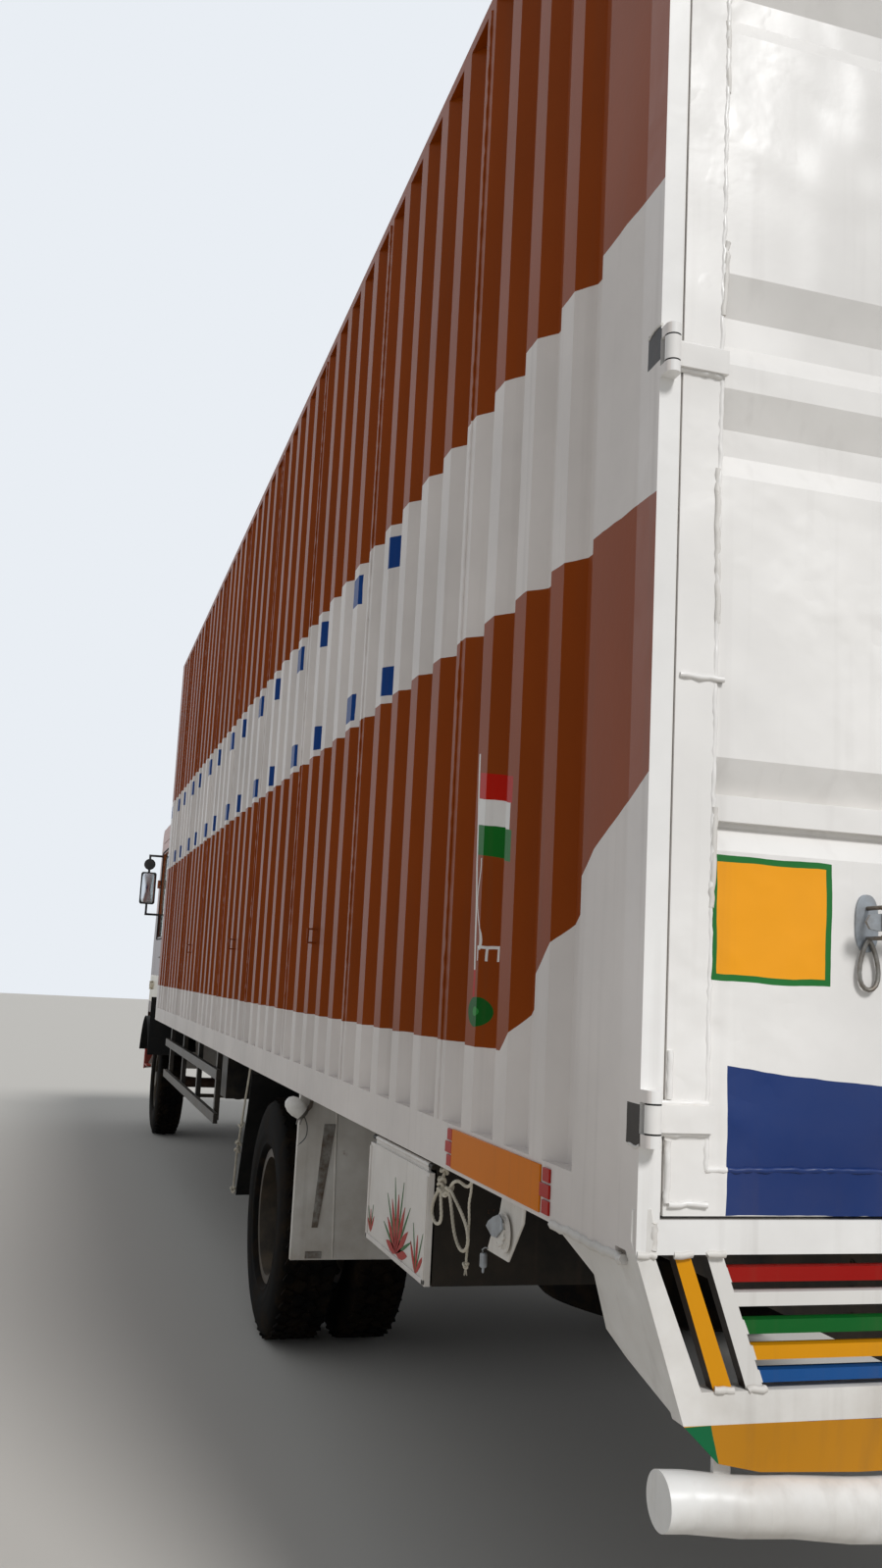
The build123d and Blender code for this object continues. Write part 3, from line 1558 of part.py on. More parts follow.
with BuildPart() as front_bumper:
    with BuildSketch(Plane.XY.offset(bumper_bottom)):
        with BuildLine():
            Polyline(
                (-half_cab, cab_front_y - 60),
                (-half_cab, cab_front_y + 20),
                (-half_cab + 80, cab_front_y + bumper_depth),
                (half_cab - 80, cab_front_y + bumper_depth),
                (half_cab, cab_front_y + 20),
                (half_cab, cab_front_y - 60),
                (half_cab - bumper_wall, cab_front_y - 60),
                (half_cab - bumper_wall, cab_front_y + 15),
                (half_cab - 84, cab_front_y + bumper_depth - bumper_wall),
                (-half_cab + 84, cab_front_y + bumper_depth - bumper_wall),
                (-half_cab + bumper_wall, cab_front_y + 15),
                (-half_cab + bumper_wall, cab_front_y - 60),
                close=True,
            )
        make_face()
    extrude(amount=bumper_top - bumper_bottom)
    for side in (-1, 1):
        bracket_end = cab_front_y + bumper_depth - bumper_wall
        with Locations((
            side * rail_centre,
            (chassis_end + bracket_end) / 2,
            (chassis_bottom + bumper_top) / 2,
        )):
            Box(chassis_flange, bracket_end - chassis_end, bumper_top - chassis_bottom)
        step_end = cab_front_y - 30
        for level in step_levels:
            with Locations((
                side * (half_cab - (bumper_wall + step_width) / 2),
                step_end - step_length / 2,
                level + step_thickness / 2,
            )):
                Box(step_width - bumper_wall + 8, step_length, step_thickness)
        with Locations((
            side * (half_cab - step_width),
            step_end - step_length / 2,
            (step_levels[0] + bumper_top) / 2,
        )):
            Box(bumper_wall, step_length, bumper_top - step_levels[0])
        with BuildSketch(Plane.XZ.offset(-(cab_front_y + bumper_depth - 40))):
            with Locations((side * lamp_x, lamp_z)):
                Circle(lamp_radius + 12)
        extrude(amount=-40)
        with BuildSketch(Plane.XZ.offset(-(cab_front_y + bumper_depth - 60))):
            with Locations((side * lamp_x, lamp_z)):
                Circle(lamp_radius)
        extrude(amount=-60, mode=Mode.SUBTRACT)
    with Locations((0, cab_front_y + bumper_depth / 2, jaw_height)):
        Box(2 * notch_half, bumper_depth + 20, 160, mode=Mode.SUBTRACT)


# Lamps: head lamps in the bumper, tail lamps in the tail frame, side markers on stalks
tail_lamp_x = 240.0
tail_lamp_width = 190.0
tail_lamp_height = 85.0
tail_lamp_depth = 28.0
tail_lamp_z = 990.0
marker_radius = 35.0
marker_station = 2880.0

with BuildPart() as lamps:
    for side in (-1, 1):
        with BuildSketch(Plane.XZ.offset(-(cab_front_y + bumper_depth - 50))):
            with Locations((side * lamp_x, lamp_z)):
                Circle(lamp_radius - running_gap)
        extrude(amount=-48)
        with Locations((
            side * tail_lamp_x,
            tail_y + tail_beam_depth - sheet - tail_lamp_depth / 2,
            tail_lamp_z,
        )):
            Box(tail_lamp_width, tail_lamp_depth, tail_lamp_height)
        with BuildSketch(Plane.XZ.offset(-(tail_y + marker_station - 60))):
            with Locations((side * (half_body - marker_radius - 5), 1010)):
                Circle(marker_radius)
        extrude(amount=-(mud_station - marker_station + 60))


# Mirrors: a tall head and a round one above it, on a bent tube from the front pillar
mirror_reach = 195.0
mirror_place = cab_length - 245.0
mirror_width = 150.0
mirror_height = 320.0
mirror_thickness = 34.0
mirror_middle = 2310.0
mirror_corner = 22.0
round_middle = 2550.0
round_radius = 55.0
arm_top = 2640.0
arm_foot = 2050.0
arm_radius = 11.0
arm_x = -half_cab - mirror_reach + mirror_width / 2
arm_y = cab_rear_y + mirror_place

with BuildPart() as mirrors:
    with BuildSketch(Plane.XZ.offset(-(arm_y - mirror_thickness))):
        with Locations((arm_x, mirror_middle)):
            RectangleRounded(mirror_width, mirror_height, mirror_corner)
        with Locations((arm_x, round_middle)):
            Circle(round_radius)
    extrude(amount=-mirror_thickness)
    with BuildSketch(Plane.XY.offset(arm_foot)):
        with Locations((arm_x, arm_y)):
            Circle(arm_radius)
    extrude(amount=arm_top - arm_foot)
    for level in (arm_foot, arm_top):
        with BuildSketch(Plane.YZ.offset(-half_cab)):
            with Locations((arm_y, level)):
                Circle(arm_radius)
        extrude(amount=half_cab + arm_x - arm_radius)
    mirror(about=Plane.YZ)


# Seats: driver's seat, mate's seat and the rear bench
seat_x = 700.0
seat_half = 250.0
seat_front = cab_length - 800.0
seat_rise = 300.0
cushion_length = 470.0
cushion_depth = 130.0
back_height = 630.0
back_gap = 80.0
back_depth = 110.0
bench_depth = 290.0
bench_height = 435.0
bench_side_gap = 10.0
seat_table = [
    # low and high y past the cab's rear wall, low and high z above the floor
    (seat_front - cushion_length, seat_front, seat_rise, seat_rise + cushion_depth),
    (seat_front - cushion_length + 40, seat_front - 50, 0.0, seat_rise),
    (
        seat_front - cushion_length - back_gap,
        seat_front - cushion_length - back_gap + back_depth,
        seat_rise + 80,
        seat_rise + 80 + back_height,
    ),
]

with BuildPart() as seats:
    for side in (-1, 1):
        for y_low, y_high, low, high in seat_table:
            add(
                cab_box(
                    side * seat_x - seat_half,
                    side * seat_x + seat_half,
                    y_low,
                    y_high,
                    cab_floor_top + low,
                    cab_floor_top + high,
                )
            )
    bench_half = half_cab - cab_wall - bench_side_gap
    add(
        cab_box(
            -bench_half,
            bench_half,
            cab_wall,
            cab_wall + bench_depth,
            cab_floor_top,
            cab_floor_top + bench_height,
        )
    )


# Steering wheel on its column, on the right
wheel_reach = 590.0
wheel_height = 675.0
wheel_centre = Vector(seat_x, cab_rear_y + cab_length - wheel_reach, cab_floor_top + wheel_height)
wheel_tilt = 35.0
steering_radius = 225.0
steering_section = 14.0
column_radius = 26.0
column_length = 850.0

with BuildPart() as steering_wheel:
    lean = math.radians(wheel_tilt)
    column = Vector(0, math.sin(lean), -math.cos(lean))
    with BuildSketch(Plane(origin=wheel_centre, x_dir=(1, 0, 0), z_dir=column)):
        Circle(steering_radius + steering_section)
        Circle(steering_radius - steering_section, mode=Mode.SUBTRACT)
        for turn in (0, 120, 240):
            with Locations(Location((0, 0), turn)):
                with Locations((steering_radius / 2, 0)):
                    Rectangle(steering_radius, 26)
        Circle(70)
    extrude(amount=22)
    with BuildSketch(Plane(origin=wheel_centre, z_dir=column)):
        Circle(column_radius)
    extrude(amount=column_length)
    add(cab_floor.part, mode=Mode.SUBTRACT)


nodes = {
    "chassis_frame": chassis_frame,
    "leaf_springs": leaf_springs,
    "rear_axle": rear_axle,
    "front_axle": front_axle,
    "knuckle_left": knuckle_left,
    "knuckle_right": knuckle_right,
    "track_rod": track_rod,
    "front_tyre_left": front_tyre_left,
    "front_tyre_right": front_tyre_right,
    "front_rim_left": front_rim_left,
    "front_rim_right": front_rim_right,
    "rear_tyres_left": rear_tyres_left,
    "rear_tyres_right": rear_tyres_right,
    "rear_rims_left": rear_rims_left,
    "rear_rims_right": rear_rims_right,
    "spare_wheel": spare_wheel,
    "engine_block": engine_block,
    "prop_shaft": prop_shaft,
    "exhaust": exhaust,
    "fuel_tank": fuel_tank,
    "battery_and_air_tanks": battery_and_air_tanks,
    "cargo_floor": cargo_floor,
    "left_side": left_side,
    "right_side": right_side,
    "front_wall": front_wall,
    "roof": roof,
    "rear_frame": rear_frame,
    "rear_door_left": rear_door_left,
    "rear_door_right": rear_door_right,
    "lock_gear_left": lock_gear_left,
    "lock_gear_right": lock_gear_right,
    "tail_frame": tail_frame,
    "tail_bars": tail_bars,
    "bumper_tube": bumper_tube,
    "rear_mud_panels": rear_mud_panels,
    "front_mudguards": front_mudguards,
    "tool_box": tool_box,
    "tool_box_lid": tool_box_lid,
    "side_guards": side_guards,
    "cab_floor": cab_floor,
    "cab_roof": cab_roof,
    "cab_rear": cab_rear,
    "cab_front": cab_front,
    "windscreen": windscreen,
    "grille": grille,
    "cab_door_left": cab_door_left,
    "cab_door_right": cab_door_right,
    "door_glass_left": door_glass_left,
    "door_glass_right": door_glass_right,
    "front_bumper": front_bumper,
    "lamps": lamps,
    "mirrors": mirrors,
    "seats": seats,
    "steering_wheel": steering_wheel,
}
for label, node in nodes.items():
    node.part.label = label
    export_step(node.part, f"parts/{label}.step")

print("length", total_length, "tail plane y", tail_y)
print("rear axle y", rear_axle_y, "front axle y", front_axle_y, "cab rear y", cab_rear_y)
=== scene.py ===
import bmesh
import bpy
import math
from functools import partial
from mathutils import Matrix, Vector


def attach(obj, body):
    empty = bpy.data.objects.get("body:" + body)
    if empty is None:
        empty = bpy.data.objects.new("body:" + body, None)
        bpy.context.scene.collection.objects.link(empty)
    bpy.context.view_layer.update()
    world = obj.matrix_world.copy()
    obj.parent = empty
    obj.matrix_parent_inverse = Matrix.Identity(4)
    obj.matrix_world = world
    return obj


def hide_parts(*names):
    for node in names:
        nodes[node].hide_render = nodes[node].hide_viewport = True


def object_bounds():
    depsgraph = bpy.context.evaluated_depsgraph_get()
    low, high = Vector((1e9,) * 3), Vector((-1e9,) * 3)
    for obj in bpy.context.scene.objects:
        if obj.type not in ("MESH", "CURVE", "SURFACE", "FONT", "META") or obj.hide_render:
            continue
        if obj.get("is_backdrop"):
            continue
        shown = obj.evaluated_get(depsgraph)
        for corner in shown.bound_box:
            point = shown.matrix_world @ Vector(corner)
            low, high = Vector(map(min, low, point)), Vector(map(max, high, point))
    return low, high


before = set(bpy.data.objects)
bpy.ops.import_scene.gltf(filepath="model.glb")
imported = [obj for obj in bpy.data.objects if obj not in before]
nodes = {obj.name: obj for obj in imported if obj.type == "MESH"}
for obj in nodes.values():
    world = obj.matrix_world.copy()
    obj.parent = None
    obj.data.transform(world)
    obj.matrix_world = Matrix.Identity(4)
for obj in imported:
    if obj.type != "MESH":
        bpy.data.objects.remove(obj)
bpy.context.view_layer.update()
scene = bpy.context.scene
print("frame loaded:", len(nodes), "nodes")

tailY = -5.972  # plane of the rear doors' faces
halfBody = 1.22  # half the load body's width
sides = (-1, 1)  # left and right


def linear(hexColour):
    channels = [int(hexColour[i:i + 2], 16) / 255 for i in (1, 3, 5)]
    return tuple(c / 12.92 if c <= 0.04045 else ((c + 0.055) / 1.055) ** 2.4 for c in channels) + (1.0,)


def feed(node, inputs):
    # a node stands for its first output
    for socket, value in inputs.items():
        if isinstance(value, bpy.types.Node):
            value = value.outputs[0]
        if isinstance(value, bpy.types.NodeSocket):
            node.id_data.links.new(value, node.inputs[socket])
        else:
            node.inputs[socket].default_value = value


def addNode(tree, kind, inputs={}, **settings):
    families = ("ShaderNode", "GeometryNode", "FunctionNode", "Node")
    node = tree.nodes.new(next(family + kind for family in families if hasattr(bpy.types, family + kind)))
    for name, value in settings.items():
        setattr(node, name, value)
    feed(node, inputs)
    return node


# Camera, floor and light
view = {
    "place": (-2.1564, -7.9768, 1.51), "lens": 30.417, "sensor": 36.0, "reach": 300.0,
    "right": (0.9578, -0.2832, 0.0504), "up": (-0.0900, -0.1287, 0.9876), "back": (-0.2730, -0.9504, -0.1488),
}
camera = bpy.data.objects.new("camera", bpy.data.cameras.new("camera"))
camera.data.lens = view["lens"]
camera.data.sensor_width = view["sensor"]
camera.data.clip_end = view["reach"]
turn = Matrix((view["right"], view["up"], view["back"])).transposed()
camera.matrix_world = Matrix.Translation(view["place"]) @ turn.to_4x4()
scene.collection.objects.link(camera)
scene.camera = camera
scene.view_settings.view_transform = "Standard"

light = {
    "sun": 2.2, "sunSize": 14.0, "sunTurn": (48, 0, 14), "sky": 0.48, "skyHex": "#e9eef4",
    "floorHex": "#c4c0b9", "floorHalf": 60, "floorDull": 0.9,
}
sun = bpy.data.objects.new("sun", bpy.data.lights.new("sun", "SUN"))
sun.data.energy = light["sun"]
sun.data.angle = math.radians(light["sunSize"])
sun.rotation_euler = [math.radians(angle) for angle in light["sunTurn"]]
scene.collection.objects.link(sun)

# the camera, mirrors and glass see the sky in full, and it lights the truck dimly
world = bpy.data.worlds.new("studio")
scene.world = world
world.use_nodes = True
world.node_tree.nodes.clear()
add = partial(addNode, world.node_tree)
rays = add("LightPath").outputs
seen = add("Math", {0: rays["Is Camera Ray"], 1: rays["Is Glossy Ray"]}, operation="MAXIMUM")
seen = add("Math", {0: seen, 1: rays["Is Transmission Ray"]}, operation="MAXIMUM")
strength = add("MapRange", {"Value": seen, "To Min": light["sky"], "To Max": 1.0})
background = add("Background", {"Color": linear(light["skyHex"]), "Strength": strength})
add("OutputWorld", {"Surface": background})

floorMesh = bpy.data.meshes.new("floor")
half = light["floorHalf"]
floorMesh.from_pydata([(-half, -half, 0), (half, -half, 0), (half, half, 0), (-half, half, 0)], [], [(0, 1, 2, 3)])
floor = bpy.data.objects.new("floor", floorMesh)
floorPaint = bpy.data.materials.new("studioFloor")
floorPaint.use_nodes = True
feed(floorPaint.node_tree.nodes["Principled BSDF"], {
    "Base Color": linear(light["floorHex"]), "Roughness": light["floorDull"]})
floorMesh.materials.append(floorPaint)
scene.collection.objects.link(floor)
floor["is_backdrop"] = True
print("camera, floor and light made")


# Painted shapes. A paint has a ground colour, measures and shapes. A measure is a name, a maths operation and its
# terms, each a number or an earlier name (x, y, z, and nx, ny, nz of the normal). A shape is a colour and the bands
# of measures that bound it, and it is painted over the shapes before it.
def paintShapes(add, measures, paint):
    for name, operation, *terms in paint.get("measures", ()):
        measures[name] = add("Math", {k: measures.get(term, term) for k, term in enumerate(terms)}, operation=operation)
    colour = linear(paint["ground"])
    for hexColour, *bands in paint["shapes"]:
        cover = None
        for measure, low, high in bands:
            inside = add("Math", {0: measures[measure], 1: (low + high) / 2, 2: (high - low) / 2}, operation="COMPARE")
            cover = inside if cover is None else add("Math", {0: cover, 1: inside}, operation="MULTIPLY")
        colour = add("Mix", {0: cover, 6: colour, 7: linear(hexColour)}, data_type="RGBA").outputs[2]
    return colour


# Side walls: brown over white, a white band with dark blue blocks, a flag on a pole and a pot near the tail
# the side walls' white is a darker, warmer copy of the doors' white: painted shade for walls out of the sun
brown, shadedSideWhite, coolWhite, blue, red = "#8d3f0b", "#e3dcd7", "#e9e6e2", "#143f82", "#bb1a08"
sideMeasures = [
    ("along", "ADD", "y", -tailY),  # forward of the tail
    ("corner", "MULTIPLY_ADD", "along", 0.5, "z"), ("steep", "MULTIPLY_ADD", "along", 0.82, "z"),
    ("repeat", "SUBTRACT", "along", 1.86), ("step", "FLOORED_MODULO", "repeat", 0.557),
    ("droop", "MULTIPLY_ADD", "along", -0.16, "z"),  # the flag hangs a little from its pole
    ("lean", "MULTIPLY_ADD", "z", -0.066, "along"),  # and the pole leans
    ("swing", "MULTIPLY", "z", 36.0), ("swing", "SINE", "swing"), ("string", "MULTIPLY_ADD", "swing", 0.012, "lean"),
    ("potAlong", "MULTIPLY_ADD", "along", 1 / 0.048, -0.884 / 0.048),
    ("potUp", "MULTIPLY_ADD", "z", 1 / 0.034, -1.452 / 0.034),
    ("potAlong", "MULTIPLY", "potAlong", "potAlong"), ("pot", "MULTIPLY_ADD", "potUp", "potUp", "potAlong"),
    ("side", "SIGN", "x"), ("facing", "MULTIPLY", "side", "nx"),
]
sideShapes = [
    (shadedSideWhite, ("z", 2.37, 2.96)), (shadedSideWhite, ("z", 0.0, 1.375)),
    (shadedSideWhite, ("corner", 0.0, 1.878), ("steep", 0.0, 1.95)),
    (blue, ("repeat", 0.0, 9.0), ("step", 0.0, 0.14), ("z", 2.815, 2.92)),
    (blue, ("repeat", 0.0, 9.0), ("step", 0.0, 0.14), ("z", 2.395, 2.49)),
    (red, ("along", 0.69, 0.92), ("droop", 1.795, 1.855)),
    (coolWhite, ("along", 0.70, 0.92), ("droop", 1.735, 1.795)),
    ("#11691f", ("along", 0.685, 0.92), ("droop", 1.665, 1.735)),
    (coolWhite, ("lean", 0.793, 0.803), ("z", 1.53, 2.05)), (coolWhite, ("string", 0.775, 0.781), ("z", 1.59, 1.80)),
    (coolWhite, ("along", 0.826, 0.886), ("z", 1.593, 1.6)),
    *[(coolWhite, ("along", start, start + 0.006), ("z", 1.565, 1.595)) for start in (0.826, 0.853, 0.88)],
    ("#0f5a1c", ("pot", -0.1, 1.0), ("z", 1.40, 1.484)), ("#2f8a3c", ("pot", -0.1, 0.1)),
    (red, ("along", 0.892, 0.906), ("z", 1.484, 1.545)),
]
sidePaint = {"ground": brown, "measures": sideMeasures, "shapes": sideShapes + [("#6d6a66", ("facing", -2.0, -0.2))]}

# The portal is white, but its posts' outer faces carry on the side walls' painting, and a dark patch by each knuckle
portalPaint = {
    "ground": brown, "measures": sideMeasures,
    "shapes": sideShapes[:3] + [
        # each dark patch is painted shade, standing in for a recessed cut-out behind the knuckle
        ("#1b1411", ("along", -0.004, 0.05), ("z", low, high))
        for low, high in ((1.27, 1.334), (2.611, 2.679), (3.945, 4.01))
    ] + [("#eae8e5", ("facing", -2.0, 0.6))],
}

# Rear doors: white, a blank yellow sign edged in green and a blank blue one, its top bowed
across = ("across", "ABSOLUTE", "x")
doorPaint = {
    "ground": coolWhite,
    "measures": [
        across, ("offset", "SUBTRACT", "across", 0.576), ("offset", "POWER", "offset", 2.0),
        ("curved", "MULTIPLY_ADD", "offset", -0.12, "z"),
    ],
    "shapes": [
        ("#0f6b26", ("across", 0.868, 1.097), ("z", 1.538, 1.748)),
        ("#f2a006", ("across", 0.879, 1.086), ("z", 1.549, 1.737)),
        ("#072c68", ("across", 0.09, 1.062), ("curved", 1.0, 1.372), ("z", 1.161, 1.6)),
        ("#77736e", ("ny", 0.3, 2.0)),
    ],
}

# Tail bars: blue, yellow, green, white and red from the foot, a yellow slanted bar, an orange strip with green ends
barPaint = {
    "ground": "#174f8c",
    "measures": [
        across, ("slope", "MULTIPLY_ADD", "z", 0.367, halfBody - 0.404), ("inset", "SUBTRACT", "slope", "across"),
        ("corner", "MULTIPLY_ADD", "z", -0.345, "across"), ("side", "ABSOLUTE", "nx"),
    ],
    "shapes": [
        ("#d8920a", ("z", 0.927, 1.2)), ("#065c22", ("z", 0.966, 1.2)), ("#dcd9d4", ("z", 1.006, 1.2)),
        ("#930d08", ("z", 1.048, 1.2)), ("#dcd9d4", ("inset", -0.2, 0.158)), ("#d8920a", ("inset", -0.2, 0.112)),
        ("#c2831a", ("z", 0.0, 0.8399)), ("#0f6a40", ("corner", 0.792, 1.2), ("z", 0.0, 0.8399)),
        # dark brown side faces: partly bare unpainted steel, partly painted shade for sides in shadow
        ("#2c221b", ("side", 0.5, 2.0)),
    ],
}

# Cab: orange-brown above, a dark belt, a cream band along the foot, dark mats on the floor
cabPaint = {
    "ground": "#a4511c",
    "shapes": [
        ("#4a1d0c", ("z", 1.45, 2.05)), ("#e6ddc8", ("z", 1.19, 1.45)), ("#3a1a10", ("z", 0.0, 1.19)),
        ("#3a3836", ("x", -1.12, 1.12), ("z", 1.09, 1.3), ("nz", 0.9, 2.0)),
    ],
}

# Front bumper: white, slanted red ends and a yellow line along its top edge
bumperPaint = {
    "ground": "#e4e1dc", "measures": [across, ("slope", "MULTIPLY_ADD", "z", 0.5, "across")],
    "shapes": [("#b01d12", ("slope", 1.36, 3.0)), ("#e0a312", ("z", 0.815, 0.84))],
}

# Tail lamp lenses are red, amber at the outer end, and head lamp lenses clear, a little grey low down
lensPaint = {"ground": "#a30f0c", "measures": [across], "shapes": [("#d5660a", ("across", 0.275, 0.4))]}
clearPaint = {"ground": "#e8ecee", "shapes": [("#dcdfdd", ("z", 0.0, 0.65))]}


def startFinish(name):
    finish = bpy.data.materials.new(name)
    finish.use_nodes = True
    add = partial(addNode, finish.node_tree)
    return finish, add, add("TexCoord").outputs["Object"]


def endFinish(finish, inputs):
    feed(finish.node_tree.nodes["Principled BSDF"], inputs)
    return finish


def blotches(add, place, across, detail, roughness, *bounds):
    # soft patches so many millimetres across, and how their values from low to high are spread
    patches = add("TexNoise", {"Vector": place, "Scale": 1000 / across, "Detail": detail, "Roughness": roughness})
    return add("MapRange", {"Value": patches, **dict(zip(("From Min", "From Max", "To Min", "To Max"), bounds))})


def paintedSteel(name, paint, roughness=0.34, dust=0.3, rust=0.15, dent=0.0, dentSize=450, streak=0.2, gleam=0.4,
                 knock=0.0):
    # enamel over steel sheet: paint is a colour or a painted pattern, dent is how far the sheet is sprung, in metres,
    # and knock is how deep the blows on it are
    size = {"edge": 140, "patch": 590, "rust": 77, "dirt": 220, "ripple": 16, "blow": 62, "run": 38, "fall": 1100}  # mm
    finish, add, place = startFinish(name)
    if isinstance(paint, dict):
        # a brush wanders 6 mm at a painted edge
        waver = add("TexNoise", {"Vector": place, "Scale": 1000 / size["edge"], "Detail": 3.0})
        waver = add("VectorMath", {
            0: waver.outputs["Color"], 1: (0.012,) * 3, 2: (-0.006,) * 3}, operation="MULTIPLY_ADD")
        waver = add("VectorMath", {0: place, 1: waver}, operation="ADD")
        axes = add("SeparateXYZ", {0: waver}).outputs
        normal = add("SeparateXYZ", {0: place.node.outputs["Normal"]}).outputs
        colour = paintShapes(add, dict(zip(("x", "y", "z", "nx", "ny", "nz"), [*axes, *normal])), paint)
    else:
        colour = linear(paint)[:3]
    patches = add("TexNoise", {"Vector": place, "Scale": 1000 / size["patch"], "Detail": 5.0, "Roughness": 0.6})
    shade = add("MapRange", {"Value": patches, "From Min": 0.3, "From Max": 0.7, "To Min": 0.86, "To Max": 1.04})
    colour = add("VectorMath", {0: colour, "Scale": shade}, operation="SCALE")
    # rain runs 38 mm wide and 1.1 m long
    runs = add("Mapping", {"Vector": place, "Scale": [1000 / size[way] for way in ("run", "run", "fall")]})
    runs = blotches(add, runs, 1000, 4.0, 0.5, 0.55, 0.8, 0.0, streak)
    specks = blotches(add, place, size["rust"], 9.0, 0.72, 0.74 - 0.16 * rust, 0.80 - 0.14 * rust)
    height = add("SeparateXYZ", {0: place}).outputs[2]
    low = add("MapRange", {"Value": height, "From Min": 1.5, "From Max": 0.3, "To Min": 0.03, "To Max": 1.0})
    dirt = add("Math", {0: low, 1: blotches(add, place, size["dirt"], 8.0, 0.65, 0.35, 0.7)}, operation="MULTIPLY")
    dirt = add("Math", {0: dirt, 1: dust}, operation="MULTIPLY")
    for cover, hexColour in ((runs, "#5d4b3a"), (specks, "#70401f"), (dirt, "#8d7a60")):
        colour = add("Mix", {0: cover, 6: colour, 7: linear(hexColour)}, data_type="RGBA").outputs[2]
    gloss = add("Math", {0: dirt, 1: 0.5, 2: roughness}, operation="MULTIPLY_ADD")
    gloss = add("Math", {0: specks, 1: 0.4, 2: gloss}, operation="MULTIPLY_ADD", use_clamp=True)
    # brush marks are 1 mm apart, drawn at 16 mm so that they show
    ripple = add("TexNoise", {"Vector": place, "Scale": 1000 / size["ripple"], "Detail": 2.0})
    bump = add("Bump", {"Strength": 0.25, "Distance": 0.0006, "Height": ripple})
    if dent:
        hollow = add("TexNoise", {
            "Vector": place, "Scale": 1000 / dentSize, "Detail": 2.0, "Roughness": 0.45, "Distortion": 0.4})
        bump = add("Bump", {"Strength": 1.0, "Distance": dent, "Height": hollow, "Normal": bump})
    if knock:
        # blows as wide as a hand, in clusters
        blows = blotches(add, place, size["blow"], 1.0, 0.5, 0.35, 0.85)
        cluster = add("MapRange", {"Value": patches, "From Min": 0.52, "From Max": 0.7})
        blows = add("Math", {0: blows, 1: cluster}, operation="MULTIPLY")
        bump = add("Bump", {"Strength": 1.0, "Distance": knock, "Height": blows, "Normal": bump})
    return endFinish(finish, {"Base Color": colour, "Roughness": gloss, "Normal": bump, "Specular IOR Level": gleam})


def bareMetal(name, base, dark, roughness, metallic, mottle, relief):
    # unpainted metal, mottled every so many millimetres, dull in its dark patches, relief deep in metres
    finish, add, place = startFinish(name)
    spread = blotches(add, place, mottle, 8.0, 0.65, 0.35, 0.65)
    colour = add("Mix", {0: spread, 6: linear(base), 7: linear(dark)}, data_type="RGBA").outputs[2]
    gloss = add("Math", {0: spread, 1: 0.3, 2: roughness}, operation="MULTIPLY_ADD")
    skin = add("TexNoise", {"Vector": place, "Scale": 12000 / mottle, "Detail": 4.0})
    bump = add("Bump", {"Strength": 0.5, "Distance": relief, "Height": skin})
    return endFinish(finish, {"Base Color": colour, "Roughness": gloss, "Normal": bump, "Metallic": metallic})


def mouldedSkin(name, base, worn, roughness, grain, relief, gleam=0.5):
    # moulded rubber, plastic or a twisted cord: even colour, chalky patches 110 mm across, a grain in millimetres
    finish, add, place = startFinish(name)
    chalk = blotches(add, place, 110, 7.0, 0.7, 0.45, 0.75, 0.0, 0.7)
    colour = add("Mix", {0: chalk, 6: linear(base), 7: linear(worn)}, data_type="RGBA").outputs[2]
    gloss = add("Math", {0: chalk, 1: 0.25, 2: roughness}, operation="MULTIPLY_ADD")
    # a moulded grain is 0.3 mm, drawn at 3 to 6 mm so that it shows
    skin = add("TexNoise", {"Vector": place, "Scale": 1000 / grain, "Detail": 2.0})
    bump = add("Bump", {"Strength": 0.4, "Distance": relief, "Height": skin})
    return endFinish(finish, {"Base Color": colour, "Roughness": gloss, "Normal": bump, "Specular IOR Level": gleam})


def mouldedLens(name, paint, through, rib):
    # moulded acrylic: clear or dyed, glossy, with upright prism ribs so many millimetres apart that break up its shine
    finish, add, place = startFinish(name)
    colour = paintShapes(add, dict(zip("xyz", add("SeparateXYZ", {0: place}).outputs)), paint)
    haze = blotches(add, place, 60, 5.0, 0.5, 0.0, 1.0, 0.03, 0.2)
    # Blender's wave repeats every pi / 10 metres at scale 1
    ribs = add("TexWave", {"Vector": place, "Scale": 100 * math.pi / rib}, bands_direction="X")
    bump = add("Bump", {"Strength": 0.6, "Distance": 0.002, "Height": ribs.outputs["Fac"]})
    return endFinish(finish, {
        "Base Color": colour, "Roughness": haze, "Normal": bump, "Transmission Weight": through, "IOR": 1.49})


def sheetGlass(name, tint, roughness):
    # tempered sheet glass with a dusty film in patches 330 mm across
    finish, add, place = startFinish(name)
    film = blotches(add, place, 330, 6.0, 0.5, 0.4, 0.8, roughness, roughness + 0.12)
    return endFinish(finish, {"Base Color": linear(tint), "Roughness": film, "Transmission Weight": 0.92, "IOR": 1.45})


def wovenCloth(name, base, thread):
    # plain weave with dark cross threads: a real thread is 1 mm, drawn at 6 mm so that it shows
    finish, add, place = startFinish(name)
    lines = {"Vector": place, "Scale": 100 * math.pi / 6, "Distortion": 0.6}
    warp, weft = [add("TexWave", lines, bands_direction=way).outputs["Fac"] for way in "XY"]
    weave = add("Math", {0: warp, 1: weft}, operation="MULTIPLY")
    worn = add("TexNoise", {"Vector": place, "Scale": 1000 / 160, "Detail": 4.0})
    dim = add("Math", {0: weave, 1: worn}, operation="MULTIPLY")
    colour = add("Mix", {0: dim, 6: linear(base), 7: linear(thread)}, data_type="RGBA").outputs[2]
    bump = add("Bump", {"Strength": 0.5, "Distance": 0.001, "Height": weave})
    return endFinish(finish, {"Base Color": colour, "Roughness": 0.85, "Normal": bump, "Sheen Weight": 0.3})


finishes, dressed = {}, []


def dress(finish, names=""):
    # keeps a finish and puts it on the named nodes
    finishes[finish.name] = finish
    for name in names.split():
        nodes[name].data.materials.clear()
        nodes[name].data.materials.append(finish)
        dressed.append(name)


